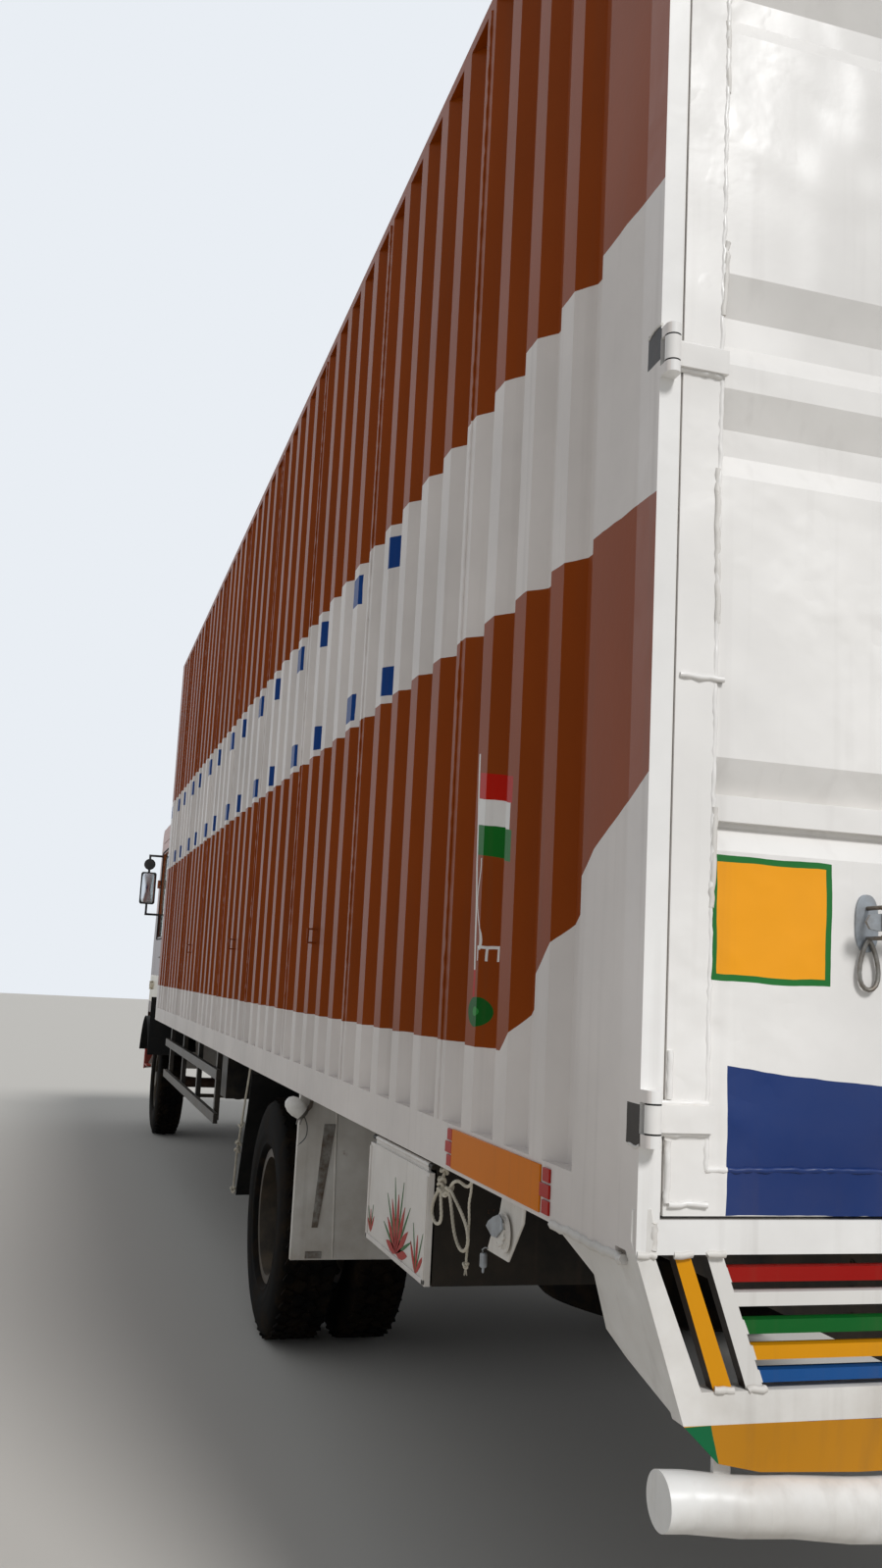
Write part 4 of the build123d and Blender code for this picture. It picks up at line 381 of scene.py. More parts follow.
# glossy, wavy sheet: long soft reflections that bend at each dent, painted edges a little unsteady
dress(paintedSteel("brushedEnamelSide", sidePaint, roughness=0.32, dust=0.18, rust=0.05, dent=0.02, dentSize=1100,
                   streak=0.12, gleam=0.05), "left_side right_side")
# deep even brown
dress(paintedSteel("brushedEnamelBrown", brown, dust=0.3, rust=0.1, dent=0.01, gleam=0.1), "front_wall")
# chalky, rust blooms
dress(paintedSteel("weatheredEnamelRoof", "#b9b5ad", roughness=0.55, dust=0.8, rust=0.5, dent=0.02), "roof")
# bright white with broad oil-can dents that shade softly, faint runs under the grooves
dress(paintedSteel("sprayedEnamelDoor", doorPaint, roughness=0.3, dust=0.22, rust=0.1, dent=0.05, dentSize=530,
                   streak=0.1, knock=0.004), "rear_door_left rear_door_right")
# hand-hammered edges
dress(paintedSteel("brushedEnamelPost", portalPaint, dust=0.3, rust=0.3, dent=0.006, dentSize=200, gleam=0.2),
      "rear_frame")
# beaten, grimy low down
dress(paintedSteel("brushedEnamelTail", "#e4e1dc", roughness=0.38, dust=0.5, rust=0.4, dent=0.02, dentSize=200),
      "tail_frame")
# clear saturated stripes, chipped
dress(paintedSteel("brushedEnamelBars", barPaint, dust=0.06, rust=0.15, gleam=0.16), "tail_bars")
# knocked pipe, soft hollows
dress(paintedSteel("brushedEnamelTube", "#e9e7e3", roughness=0.36, dust=0.4, rust=0.3, dent=0.02, dentSize=170),
      "bumper_tube")
# rough bead with dark pinholes and rust
dress(paintedSteel("brushedEnamelWeld", "#dad6d0", roughness=0.5, dust=0.3, rust=0.85))
# dark mill scale with brown bloom
dress(bareMetal("rolledSteelFloor", "#27231f", "#3a2b21", 0.6, 0.5, 200, 0.002), "cargo_floor")
# black, dusted on its ledges
dress(paintedSteel("brushedEnamelChassis", "#121114", roughness=0.5, dust=0.45, rust=0.5), "chassis_frame")
# matt black, greying
dress(mouldedSkin("mouldedRubberGuard", "#0d0d0d", "#2b2824", 0.6, 3.5, 0.0005, gleam=0.25), "front_mudguards")
# brown between its leaves
dress(bareMetal("rolledSteelSpring", "#231e1c", "#3d291c", 0.55, 0.5, 110, 0.001), "leaf_springs")
# oily black under dirt
dress(paintedSteel("forgedSteelAxle", "#1a1817", roughness=0.55, dust=0.6, rust=0.6),
      "rear_axle front_axle knuckle_left knuckle_right track_rod prop_shaft")
# dark grey, rust at the nuts; the grey is partly the rims' own paint, partly painted shade of the wheels' dark insides
dress(paintedSteel("sprayedEnamelRim", "#2b2825", roughness=0.45, dust=0.45, rust=0.4),
      "front_rim_left front_rim_right rear_rims_left rear_rims_right")
# dull black, brown road film
dress(mouldedSkin("mouldedRubberTyre", "#0c0b0a", "#33281c", 0.8, 5.5, 0.001, gleam=0.06),
      "front_tyre_left front_tyre_right rear_tyres_left rear_tyres_right spare_wheel")
dress(bareMetal("sandCastIron", "#3b3937", "#211d1b", 0.6, 0.4, 140, 0.002), "engine_block")  # rough grey casting
dress(bareMetal("heatedSteelExhaust", "#4a3529", "#2b1e17", 0.55, 0.6, 170, 0.001), "exhaust")  # heat-browned, dull
# black with soft long highlights
dress(paintedSteel("sprayedEnamelTank", "#141416", roughness=0.38, dust=0.4, rust=0.3),
      "fuel_tank battery_and_air_tanks")
# splashed white
dress(paintedSteel("brushedEnamelMudPanel", "#dedad3", roughness=0.42, dust=0.6, rust=0.4, dent=0.015, dentSize=250),
      "rear_mud_panels")
# nearly black: partly the box's own dark paint, partly painted shade to match its rear face in shadow
dress(paintedSteel("brushedEnamelBox", "#141211", roughness=0.5, dust=0.2, rust=0.3, gleam=0.2), "tool_box")
# white, dusty foot
dress(paintedSteel("brushedEnamelLid", "#e0dbd5", roughness=0.36, dust=0.35, rust=0.25, dent=0.01, dentSize=250),
      "tool_box_lid")
# black rails with pale top edges
dress(paintedSteel("brushedEnamelGuard", "#1b1a19", roughness=0.4, dust=0.3, rust=0.4), "side_guards")
# smooth two-tone coach paint
dress(paintedSteel("sprayedEnamelCab", cabPaint, roughness=0.28, dust=0.35, rust=0.15, dent=0.008, gleam=0.25),
      "cab_floor cab_roof cab_rear cab_front cab_door_left cab_door_right")
# striped, dusty
dress(paintedSteel("brushedEnamelBumper", bumperPaint, roughness=0.32, dust=0.45, rust=0.25, dent=0.01), "front_bumper")
dress(mouldedLens("mouldedAcrylicTail", lensPaint, 0.15, 9))  # deep red and amber with lively ribs
dress(mouldedLens("mouldedAcrylicClear", clearPaint, 0.9, 14))  # clear fluted lens
dress(mouldedSkin("mouldedPlasticMarker", "#e4e2dd", "#b7b0a4", 0.4, 4.0, 0.0003), "lamps")  # milky white, yellowing
# faint green, dusty film
dress(sheetGlass("temperedGlassCab", "#e3efe9", 0.03), "windscreen door_glass_left door_glass_right")
dress(mouldedSkin("mouldedPlasticGrille", "#101012", "#2e2c2a", 0.35, 3.8, 0.0003), "grille")  # satin black
dress(mouldedSkin("mouldedPlasticMirror", "#0f0f10", "#2c2b2a", 0.45, 3.8, 0.0003), "mirrors")  # satin black, scuffed
# worn shiny where held
dress(mouldedSkin("mouldedPlasticWheel", "#131313", "#2d2b29", 0.5, 3.1, 0.0004), "steering_wheel")
# cool grey with a soft spangle
dress(bareMetal("galvanisedSteelRod", "#a4abb2", "#7f7d7a", 0.38, 0.6, 110, 0.0005), "lock_gear_left lock_gear_right")
dress(bareMetal("galvanisedSteelFitting", "#8f8d88", "#5b4a3a", 0.4, 0.8, 50, 0.0004))  # grey browning to rust
dress(bareMetal("polishedSteelReflector", "#d6dadd", "#b9bec2", 0.12, 1.0, 300, 0.0))  # bright bowl behind the lens
dress(bareMetal("silveredGlassMirror", "#dfe4e8", "#ccd2d8", 0.03, 1.0, 500, 0.0))  # clear mirror
dress(paintedSteel("brushedEnamelPlate", "#d9780a", dust=0.08, rust=0.1, gleam=0.05))  # warm orange-yellow
dress(paintedSteel("brushedEnamelRed", "#ad160a", dust=0.08, rust=0.1, gleam=0.15))  # poppy red brushwork
dress(paintedSteel("brushedEnamelLeaf", "#0f5f22", roughness=0.4, dust=0.05, rust=0.0, gleam=0.2))  # leaf green
dress(mouldedSkin("twistedCottonRope", "#cfc8b8", "#8d8370", 0.9, 2.4, 0.002, gleam=0.2))  # soft, unbleached, soiled
# dark red with a visible weave, soft sheen at its edges
dress(wovenCloth("wovenCottonSeat", "#6b1d18", "#2a0d0b"), "seats")
print("materials on", len(dressed), "nodes")


# Mesh helpers
def circle(count, more=0):
    return [2 * math.pi * k / count for k in range(count + more)]


def stitch(shape, near, far):
    # faces between two closed loops
    for k in range(len(near)):
        ahead = (k + 1) % len(near)
        shape.faces.new((near[k], near[ahead], far[ahead], far[k]))


def addBlock(shape, low, high):
    middle = [(a + b) / 2 for a, b in zip(low, high)]
    size = [b - a for a, b in zip(low, high)]
    bmesh.ops.create_cube(shape, size=1.0, matrix=Matrix.Translation(middle) @ Matrix.Diagonal((*size, 1.0)))


def addTube(shape, points, radius, corners=10):
    rings = []
    points = [Vector(point) for point in points]
    for index, point in enumerate(points):
        ahead = points[min(index + 1, len(points) - 1)] - points[max(index - 1, 0)]
        side = ahead.normalized().orthogonal() if index == 0 else side
        side = (side - ahead.normalized() * side.dot(ahead.normalized())).normalized()
        other = ahead.normalized().cross(side)
        rings.append([
            shape.verts.new(point + radius * (math.cos(a) * side + math.sin(a) * other)) for a in circle(corners)
        ])
    for near, far in zip(rings, rings[1:]):
        stitch(shape, near, far)
    shape.faces.new(list(reversed(rings[0])))
    shape.faces.new(rings[-1])


def addRevolve(shape, outline, centre, axis, segments):
    # outline is a closed loop of (along the axis, radius) round the given centre
    rings = []
    for angle in circle(segments):
        ring = []
        for along, radius in outline:
            point = Vector((along, radius * math.cos(angle), radius * math.sin(angle)))
            if axis == "Z":
                point = Vector((point.y, point.z, point.x))
            if axis == "Y":
                point = Vector((point.z, point.x, point.y))
            ring.append(shape.verts.new(Vector(centre) + point))
        rings.append(ring)
    for near, far in zip(rings, rings[1:] + rings[:1]):
        stitch(shape, near, far)


def addPlate(shape, corners, thickness):
    # a thin plate: its corners in order, and the vector to its back
    front = [shape.verts.new(Vector(corner)) for corner in corners]
    back = [shape.verts.new(vert.co + Vector(thickness)) for vert in front]
    shape.faces.new(front)
    shape.faces.new(list(reversed(back)))
    stitch(shape, back, front)


def addLeaf(shape, base, angle, length, width, depth, plane):
    # a pointed petal, drawn flat: plane gives the two axes it lies along and its outward axis
    along, up, out = (Vector(axis) for axis in plane)
    run = math.cos(angle) * along + math.sin(angle) * up
    cross = -math.sin(angle) * along + math.cos(angle) * up
    edge = [(0.0, 0.0), (0.25, 0.8), (0.55, 1.0), (0.8, 0.6), (1.0, 0.0), (0.8, -0.6), (0.55, -1.0), (0.25, -0.8)]
    front = [Vector(base) + run * a * length + cross * b * width / 2 + out * depth for a, b in edge]
    addPlate(shape, front, -out * depth)


def addPad(shape, centre, size, depth, crown, plane, corner=4.0):
    # a rounded rectangle with a crowned face: plane gives its across and up axes and its outward axis
    across, up, out = (Vector(axis) for axis in plane)
    rings = []
    for share, rise in (
        (1.0, -depth), (1.0, -0.25 * depth), (0.985, 0.0),
        (0.85, 0.45 * crown), (0.6, 0.8 * crown), (0.3, 0.97 * crown),
    ):
        ring = []
        for a in circle(32):
            c, s = math.cos(a), math.sin(a)
            w = math.copysign(abs(c) ** (2 / corner), c) * size[0] / 2 * share
            h = math.copysign(abs(s) ** (2 / corner), s) * size[1] / 2 * share
            ring.append(shape.verts.new(Vector(centre) + across * w + up * h + out * rise))
        rings.append(ring)
    for near, far in zip(rings, rings[1:]):
        stitch(shape, near, far)
    shape.faces.new(list(reversed(rings[0])))
    top = shape.verts.new(Vector(centre) + out * crown)
    for k in range(32):
        shape.faces.new((rings[-1][k], rings[-1][(k + 1) % 32], top))


def finishPiece(name, shape, finish, body="truck", bevel=0.0, smooth=True):
    bmesh.ops.recalc_face_normals(shape, faces=shape.faces)
    mesh = bpy.data.meshes.new(name)
    shape.to_mesh(mesh)
    shape.free()
    mesh.materials.append(finishes[finish])
    piece = bpy.data.objects.new(name, mesh)
    scene.collection.objects.link(piece)
    if smooth:
        for face in mesh.polygons:
            face.use_smooth = True
        mesh.set_sharp_from_angle(angle=math.radians(35))
    if bevel:
        edges = piece.modifiers.new("edges", "BEVEL")
        edges.width = bevel
        edges.segments = 2
        edges.limit_method = "ANGLE"
    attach(piece, body)
    return piece


def plainPiece(name, points, edges, tree, values, body):
    # runs a node tree on points and edges, keeps the result as a plain mesh and drops the modifier
    mesh = bpy.data.meshes.new(name)
    mesh.from_pydata(points, edges, [])
    piece = bpy.data.objects.new(name, mesh)
    scene.collection.objects.link(piece)
    maker = piece.modifiers.new("maker", "NODES")
    maker.node_group = tree
    for socket in tree.interface.items_tree:
        if socket.in_out == "INPUT" and socket.name in values:
            maker[socket.identifier] = values[socket.name]
    bpy.context.view_layer.update()
    made = bpy.data.meshes.new_from_object(piece.evaluated_get(bpy.context.evaluated_depsgraph_get()))
    piece.modifiers.clear()
    piece.data = made
    if body:
        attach(piece, body)
    return piece


def startTree(name, sizes):
    tree = bpy.data.node_groups.new(name, "GeometryNodeTree")
    tree.interface.new_socket("Geometry", in_out="INPUT", socket_type="NodeSocketGeometry")
    for size in sizes:
        kind = "NodeSocketInt" if size in ("Seed", "Count") else "NodeSocketFloat"
        tree.interface.new_socket(size, in_out="INPUT", socket_type=kind)
    tree.interface.new_socket("Geometry", in_out="OUTPUT", socket_type="NodeSocketGeometry")
    add = partial(addNode, tree)
    return tree, add, add("GroupInput").outputs


def endTree(add, geometry, finish):
    real = add("RealizeInstances", {0: geometry})
    add("GroupOutput", {0: add("SetMaterial", {"Geometry": real, "Material": finishes[finish]})})


# Weld beads: one knobbly run along each line, painted over with its plate
def weldTree(finish):
    tree, add, given = startTree("weld" + finish, ["Spacing", "Radius", "Seed"])
    line = add("MeshToCurve", {"Mesh": given["Geometry"]})
    line = add("ResampleCurve", {"Curve": line, "Length": given["Spacing"]}, mode="LENGTH")
    shake = add("RandomValue", {0: (-0.3,) * 3, 1: (0.3,) * 3, 8: given["Seed"]}, data_type="FLOAT_VECTOR")
    shake = add("VectorMath", {0: shake, "Scale": given["Radius"]}, operation="SCALE")
    line = add("SetPosition", {"Geometry": line, "Offset": shake})
    swell = add("RandomValue", {2: 0.45, 3: 1.2, 8: given["Seed"]}, data_type="FLOAT")
    line = add("SetCurveRadius", {"Curve": line, "Radius": swell.outputs[1]})
    ring = add("CurvePrimitiveCircle", {"Resolution": 6, "Radius": given["Radius"]})
    bead = add("CurveToMesh", {"Curve": line, "Profile Curve": ring, "Fill Caps": True})
    endTree(add, add("SetShadeSmooth", {"Geometry": bead}), finish)
    return tree


def weldLines(name, lines, spacing, radius, seed, finish="brushedEnamelWeld", body="truck"):
    spots = [point for line in lines for point in line]
    edges = [(k, k + 1) for k in range(0, len(spots), 2)]
    plainPiece(name, spots, edges, weldTree(finish), {"Spacing": spacing, "Radius": radius, "Seed": seed}, body)


wallWelds = {"first": 1.133, "pitch": 1.1135, "count": 8, "heights": (1.19, 4.15), "spacing": 0.02, "radius": 0.0045}
for side, name in zip(sides, ("leftWallWelds", "rightWallWelds")):
    lines = [
        [(side * halfBody, tailY + wallWelds["first"] + k * wallWelds["pitch"], z) for z in wallWelds["heights"]]
        for k in range(wallWelds["count"])
    ]
    weldLines(name, lines, wallWelds["spacing"], wallWelds["radius"], 3 + side, "brushedEnamelSide")

doorWelds = {
    "side": 1.1, "meeting": 0.066, "heights": (1.232, 4.032), "face": 0.003, "sunk": -0.001, "spacing": 0.011,
    "radius": 0.0055, "hinges": (1.313, 2.624, 3.977), "strap": (1.1, 1.19, 0.024),
    # a patch's edge, then three beads at the door's foot
    "short": [
        ((1.085, 2.05), (1.168, 2.05)), ((1.168, 1.178), (1.098, 1.179)), ((1.17, 1.18), (1.169, 1.278)),
        ((1.17, 1.345), (1.169, 1.42)),
    ],
    # welded again: from and to height, inset at each, where the bead is lumpy and wanders off the edge
    "again": [
        (1.66, 1.83, 0.0, 0.004), (2.15, 2.43, 0.0, -0.004), (2.72, 2.86, 0.002, 0.006), (3.16, 3.3, 0.004, 0.0),
        (3.36, 3.6, 0.0, 0.004),
    ],
    "againSpacing": 0.013, "againRadius": 0.006,
}
for side, body in zip(sides, ("rear_door_left", "rear_door_right")):
    faceY, sunkY = tailY + doorWelds["face"], tailY + doorWelds["sunk"]
    edges, heights = (doorWelds["side"], doorWelds["meeting"]), doorWelds["heights"]
    lines = [[(side * x, faceY, z) for z in heights] for x in edges]
    lines += [[(side * x, faceY, z) for x in edges] for z in heights]
    lines += [[(side * x, sunkY, z) for x, z in line] for line in doorWelds["short"]]
    inner, outer, half = doorWelds["strap"]
    for height in doorWelds["hinges"]:
        lines += [[(side * x, sunkY, height + rise) for x in (inner, outer)] for rise in (-half, half)]
        lines.append([(side * inner, sunkY, height + rise) for rise in (-half, half)])
    weldLines(body + "Welds", lines, doorWelds["spacing"], doorWelds["radius"], 9, "sprayedEnamelDoor", body=body)
    lines = [
        [(side * (doorWelds["side"] - inset), faceY - 0.001, z) for z, inset in ((low, start), (high, end))]
        for low, high, start, end in doorWelds["again"]
    ]
    weldLines(body + "WeldsAgain", lines, doorWelds["againSpacing"], doorWelds["againRadius"], 17, body=body)

# heavy stitches where the slanted posts and bars meet the sill and the low beam, and along the skirts
tailStitches = {
    "heights": (1.0995, 0.8905), "post": (1.106, 1.153), "postX": 1.19, "spacing": 0.006, "radius": 0.0065,
    "spans": ([(1.186, 1.218), (1.122, 1.152), (1.063, 1.096)], [(1.043, 1.077), (0.985, 1.018)]),
    "skirt": (0.37, 0.045), "skirtZ": 1.083, "skirtSpacing": 0.016, "skirtRadius": 0.009,
}
lines = []
for side in sides:
    for z, spans in zip(tailStitches["heights"], tailStitches["spans"]):
        lines += [[(side * x, tailY + 0.002, z) for x in span] for span in spans]
    lines.append([(side * tailStitches["postX"], tailY + 0.001, z) for z in tailStitches["post"]])
weldLines("tailStitches", lines, tailStitches["spacing"], tailStitches["radius"], 21)
lines = [
    [(side * (halfBody - 0.002), tailY + along, tailStitches["skirtZ"]) for along in tailStitches["skirt"]]
    for side in sides
]
weldLines("skirtWelds", lines, tailStitches["skirtSpacing"], tailStitches["skirtRadius"], 33)
print("welds laid")


# Hexagon bolts with washers
def boltHeads(name, spots, head, height, finish, body="truck"):
    tree, add, given = startTree("bolts" + finish, ["Head", "Height"])
    hexagon = add("MeshCylinder", {"Vertices": 6, "Radius": given["Head"], "Depth": given["Height"]})
    wide = add("Math", {0: given["Head"], 1: 1.35}, operation="MULTIPLY")
    thin = add("Math", {0: given["Height"], 1: 0.35}, operation="MULTIPLY")
    both = add("JoinGeometry", {0: hexagon})
    feed(both, {0: add("MeshCylinder", {"Vertices": 14, "Radius": wide, "Depth": thin})})
    turned = add("Transform", {"Geometry": both, "Rotation": (0.0, math.pi / 2, 0.0)})
    endTree(add, add("InstanceOnPoints", {"Points": given["Geometry"], "Instance": turned}), finish)
    plainPiece(name, spots, [], tree, {"Head": head, "Height": height}, body)


frameBolts = {
    "stations": [0.6, 1.5, 2.25, 3.05, 4.63, 5.7, 6.8, 7.9, 8.9, 9.52], "rows": (0.84, 0.895, 0.95), "x": 0.4305,
    "size": 0.012,
}
spots = [
    (side * frameBolts["x"], tailY + station, row)
    for side in sides for station in frameBolts["stations"] for row in frameBolts["rows"]
]
boltHeads("frameBolts", spots, frameBolts["size"], frameBolts["size"], "forgedSteelAxle")
wheels = {"frontY": 4.928, "rearY": -2.132, "z": 0.492}
wheelNuts = {"ring": 0.083, "count": 8, "head": 0.014, "height": 0.022, "frontX": 1.032, "rearX": 0.927}
for end, wheel in (("front", "front_wheel_"), ("rear", "rear_wheels_")):
    for side, word in zip(sides, ("left", "right")):
        angles = [2 * math.pi * (k + 0.5) / wheelNuts["count"] for k in range(wheelNuts["count"])]
        x, y, z, ring = side * wheelNuts[end + "X"], wheels[end + "Y"], wheels["z"], wheelNuts["ring"]
        spots = [(x, y + ring * math.cos(a), z + ring * math.sin(a)) for a in angles]
        boltHeads(wheel + word + "Nuts", spots, wheelNuts["head"], wheelNuts["height"], "galvanisedSteelFitting",
                  wheel + word)
print("bolts set")


# Tyres: ribbed side walls and a lug tread, within the CAD tyre's form
tyreShape = {
    "outline": [
        (0.0887, 0.2545), (0.0887, 0.278), (0.112, 0.292), (0.116, 0.300), (0.1145, 0.310), (0.120, 0.330),
        (0.1245, 0.360), (0.1232, 0.366), (0.1240, 0.372), (0.1215, 0.410), (0.1195, 0.425), (0.112, 0.452),
        (0.104, 0.470), (0.090, 0.4795), (0.050, 0.4815), (0.0, 0.482),
    ],
    "lining": [(-0.075, 0.262), (-0.1, 0.33), (-0.09, 0.44), (0.09, 0.44), (0.1, 0.33), (0.075, 0.262)],
    "segments": 72, "lugs": 46, "radius": 0.4858, "lugDepth": 0.0105, "slant": 0.45,
    # place across, width and length of the lugs, and their shift round the tyre
    "rows": [
        (-0.076, 0.040, 0.034, 0.0), (-0.026, 0.034, 0.050, 0.5),
        (0.026, 0.034, 0.050, 0.0), (0.076, 0.040, 0.034, 0.5),
    ],
    "front": [0.97], "rear": [1.05, 0.75],
}


def treadTree():
    tree, add, given = startTree("tread", ["Count", "Radius", "Depth"])
    rows = add("JoinGeometry")
    for across, width, length, phase in tyreShape["rows"]:
        share = add("Math", {0: add("InputIndex"), 1: phase}, operation="ADD")
        share = add("Math", {0: share, 1: given["Count"]}, operation="DIVIDE")
        angle = add("Math", {0: share, 1: 2 * math.pi}, operation="MULTIPLY")
        rise = add("Math", {0: angle}, operation="COSINE")
        ahead = add("Math", {0: add("Math", {0: angle}, operation="SINE"), 1: -1.0}, operation="MULTIPLY")
        way = add("CombineXYZ", {1: ahead, 2: rise})
        way = add("VectorMath", {0: way, "Scale": given["Radius"]}, operation="SCALE")
        way = add("VectorMath", {0: way, 1: (across, 0.0, 0.0)}, operation="ADD")
        spots = add("SetPosition", {"Geometry": add("Points", {"Count": given["Count"]}), "Position": way})
        lug = add("MeshCube", {"Size": add("CombineXYZ", {0: width, 1: length, 2: given["Depth"]})})
        lug = add("Transform", {"Geometry": lug, "Rotation": (0.0, 0.0, math.copysign(tyreShape["slant"], across))})
        lugs = add("InstanceOnPoints", {"Points": spots, "Instance": lug, "Rotation": add("CombineXYZ", {0: angle})})
        feed(rows, {0: lugs})
    endTree(add, rows, "mouldedRubberTyre")
    return tree


tread = plainPiece("tread", [(0, 0, 0)], [], treadTree(), {
    "Count": tyreShape["lugs"], "Radius": tyreShape["radius"], "Depth": tyreShape["lugDepth"]}, None)
treadMesh = tread.data.copy()
bpy.data.objects.remove(tread)
half = tyreShape["outline"]
loop = half + [(-along, radius) for along, radius in reversed(half[:-1])] + tyreShape["lining"]
for end, wheel, tyre in (("front", "front_wheel_", "Tyre"), ("rear", "rear_wheels_", "Tyres")):
    for side, word in zip(sides, ("left", "right")):
        shape = bmesh.new()
        for reach in tyreShape[end]:
            centre = (side * reach, wheels[end + "Y"], wheels["z"])
            addRevolve(shape, loop, centre, "X", tyreShape["segments"])
            count = len(shape.verts)
            shape.from_mesh(treadMesh)
            shape.verts.ensure_lookup_table()
            bmesh.ops.transform(shape, matrix=Matrix.Translation(centre), verts=shape.verts[count:])
        piece = finishPiece(end + tyre + word.capitalize(), shape, "mouldedRubberTyre", wheel + word)
        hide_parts(f"{end}_{tyre.lower()}_{word}")
print("tyres made")


# Blank plates, painted ornament and small fittings on the left rail and tool box
railPlate = {
    "ends": (0.377, 1.05), "heights": (1.092, 1.18), "foot": 0.05, "short": 0.72, "gap": 0.002, "thick": 0.004,
    "proud": 0.0044,
}
start, end = railPlate["ends"]
low, high = railPlate["heights"]
foot = railPlate["foot"]
shape = bmesh.new()
addBlock(shape, (-halfBody - railPlate["thick"], tailY + start + foot, low), (-halfBody, tailY + end - foot, high))
finishPiece("railPlate", shape, "brushedEnamelPlate", bevel=0.0012)
shape = bmesh.new()
for along in (start, end - foot):
    for k, share in enumerate((railPlate["short"], 1.0, railPlate["short"])):
        z, step, gap = low + k * (high - low) / 3, (high - low) / 3, railPlate["gap"]
        addBlock(shape, (-halfBody - railPlate["proud"], tailY + along, z + gap),
                 (-halfBody, tailY + along + foot * share, z + step - gap))
finishPiece("railPlateEnds", shape, "brushedEnamelRed", bevel=0.0012)

lidFan = {
    # base along and up, first and last angle, petals, length
    "tufts": [(1.45, 0.812, 8, 172, 13, 0.135), (1.262, 0.803, 40, 130, 5, 0.085), (1.735, 0.815, 55, 140, 5, 0.055)],
    "widths": (0.024, 0.009), "reaches": (1.0, 1.3), "depth": 0.0012, "fullLength": 0.135,
}
lidPlane = ((0, -1, 0), (0, 0, 1), (-1, 0, 0))
for turn, (name, finish) in enumerate((("lidPetals", "brushedEnamelRed"), ("lidLeaves", "brushedEnamelLeaf"))):
    shape = bmesh.new()
    for along, foot, first, last, count, length in lidFan["tufts"]:
        for k in range(turn, count, 2):
            angle = math.radians(first + (last - first) * k / (count - 1))
            reach = length * (0.75 + 0.35 * math.sin(angle)) * lidFan["reaches"][turn]
            width = lidFan["widths"][turn] * length / lidFan["fullLength"]
            addLeaf(shape, (-halfBody, tailY + along, foot), angle, reach, width, lidFan["depth"], lidPlane)
    finishPiece(name, shape, finish, "tool_box_lid", smooth=False)
lidLip = {"along": (1.183, 1.782), "heights": (0.793, 1.045), "width": 0.012, "depths": (-0.004, 0.002)}
(rear, front), (bottom, top), width = lidLip["along"], lidLip["heights"], lidLip["width"]
outer, inner = [depth - halfBody for depth in lidLip["depths"]]
shape = bmesh.new()
for start, end, high in ((rear, front, bottom + width), (rear, rear + width, top), (front - width, front, top)):
    addBlock(shape, (outer, tailY + start, bottom), (inner, tailY + end, high))
finishPiece("lidLip", shape, "brushedEnamelLid", "tool_box_lid", bevel=0.001)

# ratchet winch under the rail, with the pawl over its ratchet and a bolt that hangs from the plate's foot by a wire eye
winch = {
    "x": -1.2, "disc": (0.664, 1.01, 0.042), "teeth": 12, "toothDepths": (0.022, 0.029), "bolt": (0.782, 0.951),
    "wire": 0.0016,
    "corners": [
        (0.7, 1.086), (0.565, 1.086), (0.572, 1.045), (0.652, 0.955), (0.786, 0.953), (0.766, 0.985), (0.715, 1.045),
    ],
    "pawl": [
        (0.663, 1.048), (0.7, 1.036), (0.729, 1.023), (0.742, 1.011), (0.703, 0.997), (0.674, 0.999), (0.64, 1.022),
        (0.648, 1.041),
    ],
    "boltOutline": [
        (0.0, 0.0), (0.0, 0.0065), (-0.003, 0.008), (-0.027, 0.008), (-0.03, 0.006), (-0.03, 0.003), (-0.04, 0.0025),
        (-0.042, 0.0),
    ],
    "eye": [(0.003, -0.006, 0.006), (-0.006, -0.002, 0.008), (-0.009, 0.008, 0.002), (-0.004, 0.012, -0.008)],
}
shape = bmesh.new()
addPlate(shape, [(winch["x"], tailY + along, up) for along, up in winch["corners"]], (0.005, 0, 0))
finishPiece("winchPlate", shape, "brushedEnamelMudPanel", bevel=0.0015)
shape = bmesh.new()
along, up, reach = winch["disc"]
ring = [
    (-0.012, 0.0095), (-0.012, 0.03), (-0.009, 0.031), (-0.009, reach - 0.003), (-0.006, reach - 0.002),
    (-0.004, 0.024), (-0.001, 0.024), (0.0, 0.0095),
]
addRevolve(shape, ring, (winch["x"], tailY + along, up), "X", 32)
teeth = []
low, high = winch["toothDepths"]
for k in range(winch["teeth"]):
    for share, level in ((0.0, low), (0.25, high), (0.95, low)):
        angle = 2 * math.pi * (k + share) / winch["teeth"]
        teeth.append((winch["x"] - 0.016, tailY + along + level * math.cos(angle), up + level * math.sin(angle)))
addPlate(shape, teeth, (0.005, 0, 0))
finishPiece("winchDisc", shape, "brushedEnamelMudPanel")
shape = bmesh.new()
addPlate(shape, [(winch["x"] - 0.02, tailY + along, up) for along, up in winch["pawl"]], (0.004, 0, 0))
along, up = winch["bolt"]
addRevolve(shape, winch["boltOutline"], (winch["x"] - 0.004, tailY + along + 0.012, up - 0.006), "Z", 16)
addTube(shape, [(winch["x"] + x, tailY + along + y, up + z) for x, y, z in winch["eye"]], winch["wire"], 6)
finishPiece("winchPawl", shape, "galvanisedSteelRod", bevel=0.0008)

# small eyes on the wall for the tie ropes
wallEyes = {"height": 1.66, "along": [2.85, 5.05, 7.25], "radius": 0.005, "half": 0.025}
bend = [(-0.01, 1), (0.022, 1), (0.022, -1), (-0.01, -1)]
shape = bmesh.new()
for side in sides:
    for along in wallEyes["along"]:
        addTube(shape, [
            (side * (halfBody + out), tailY + along, wallEyes["height"] + up * wallEyes["half"]) for out, up in bend
        ], wallEyes["radius"], 8)
finishPiece("wallEyes", shape, "brushedEnamelBrown")

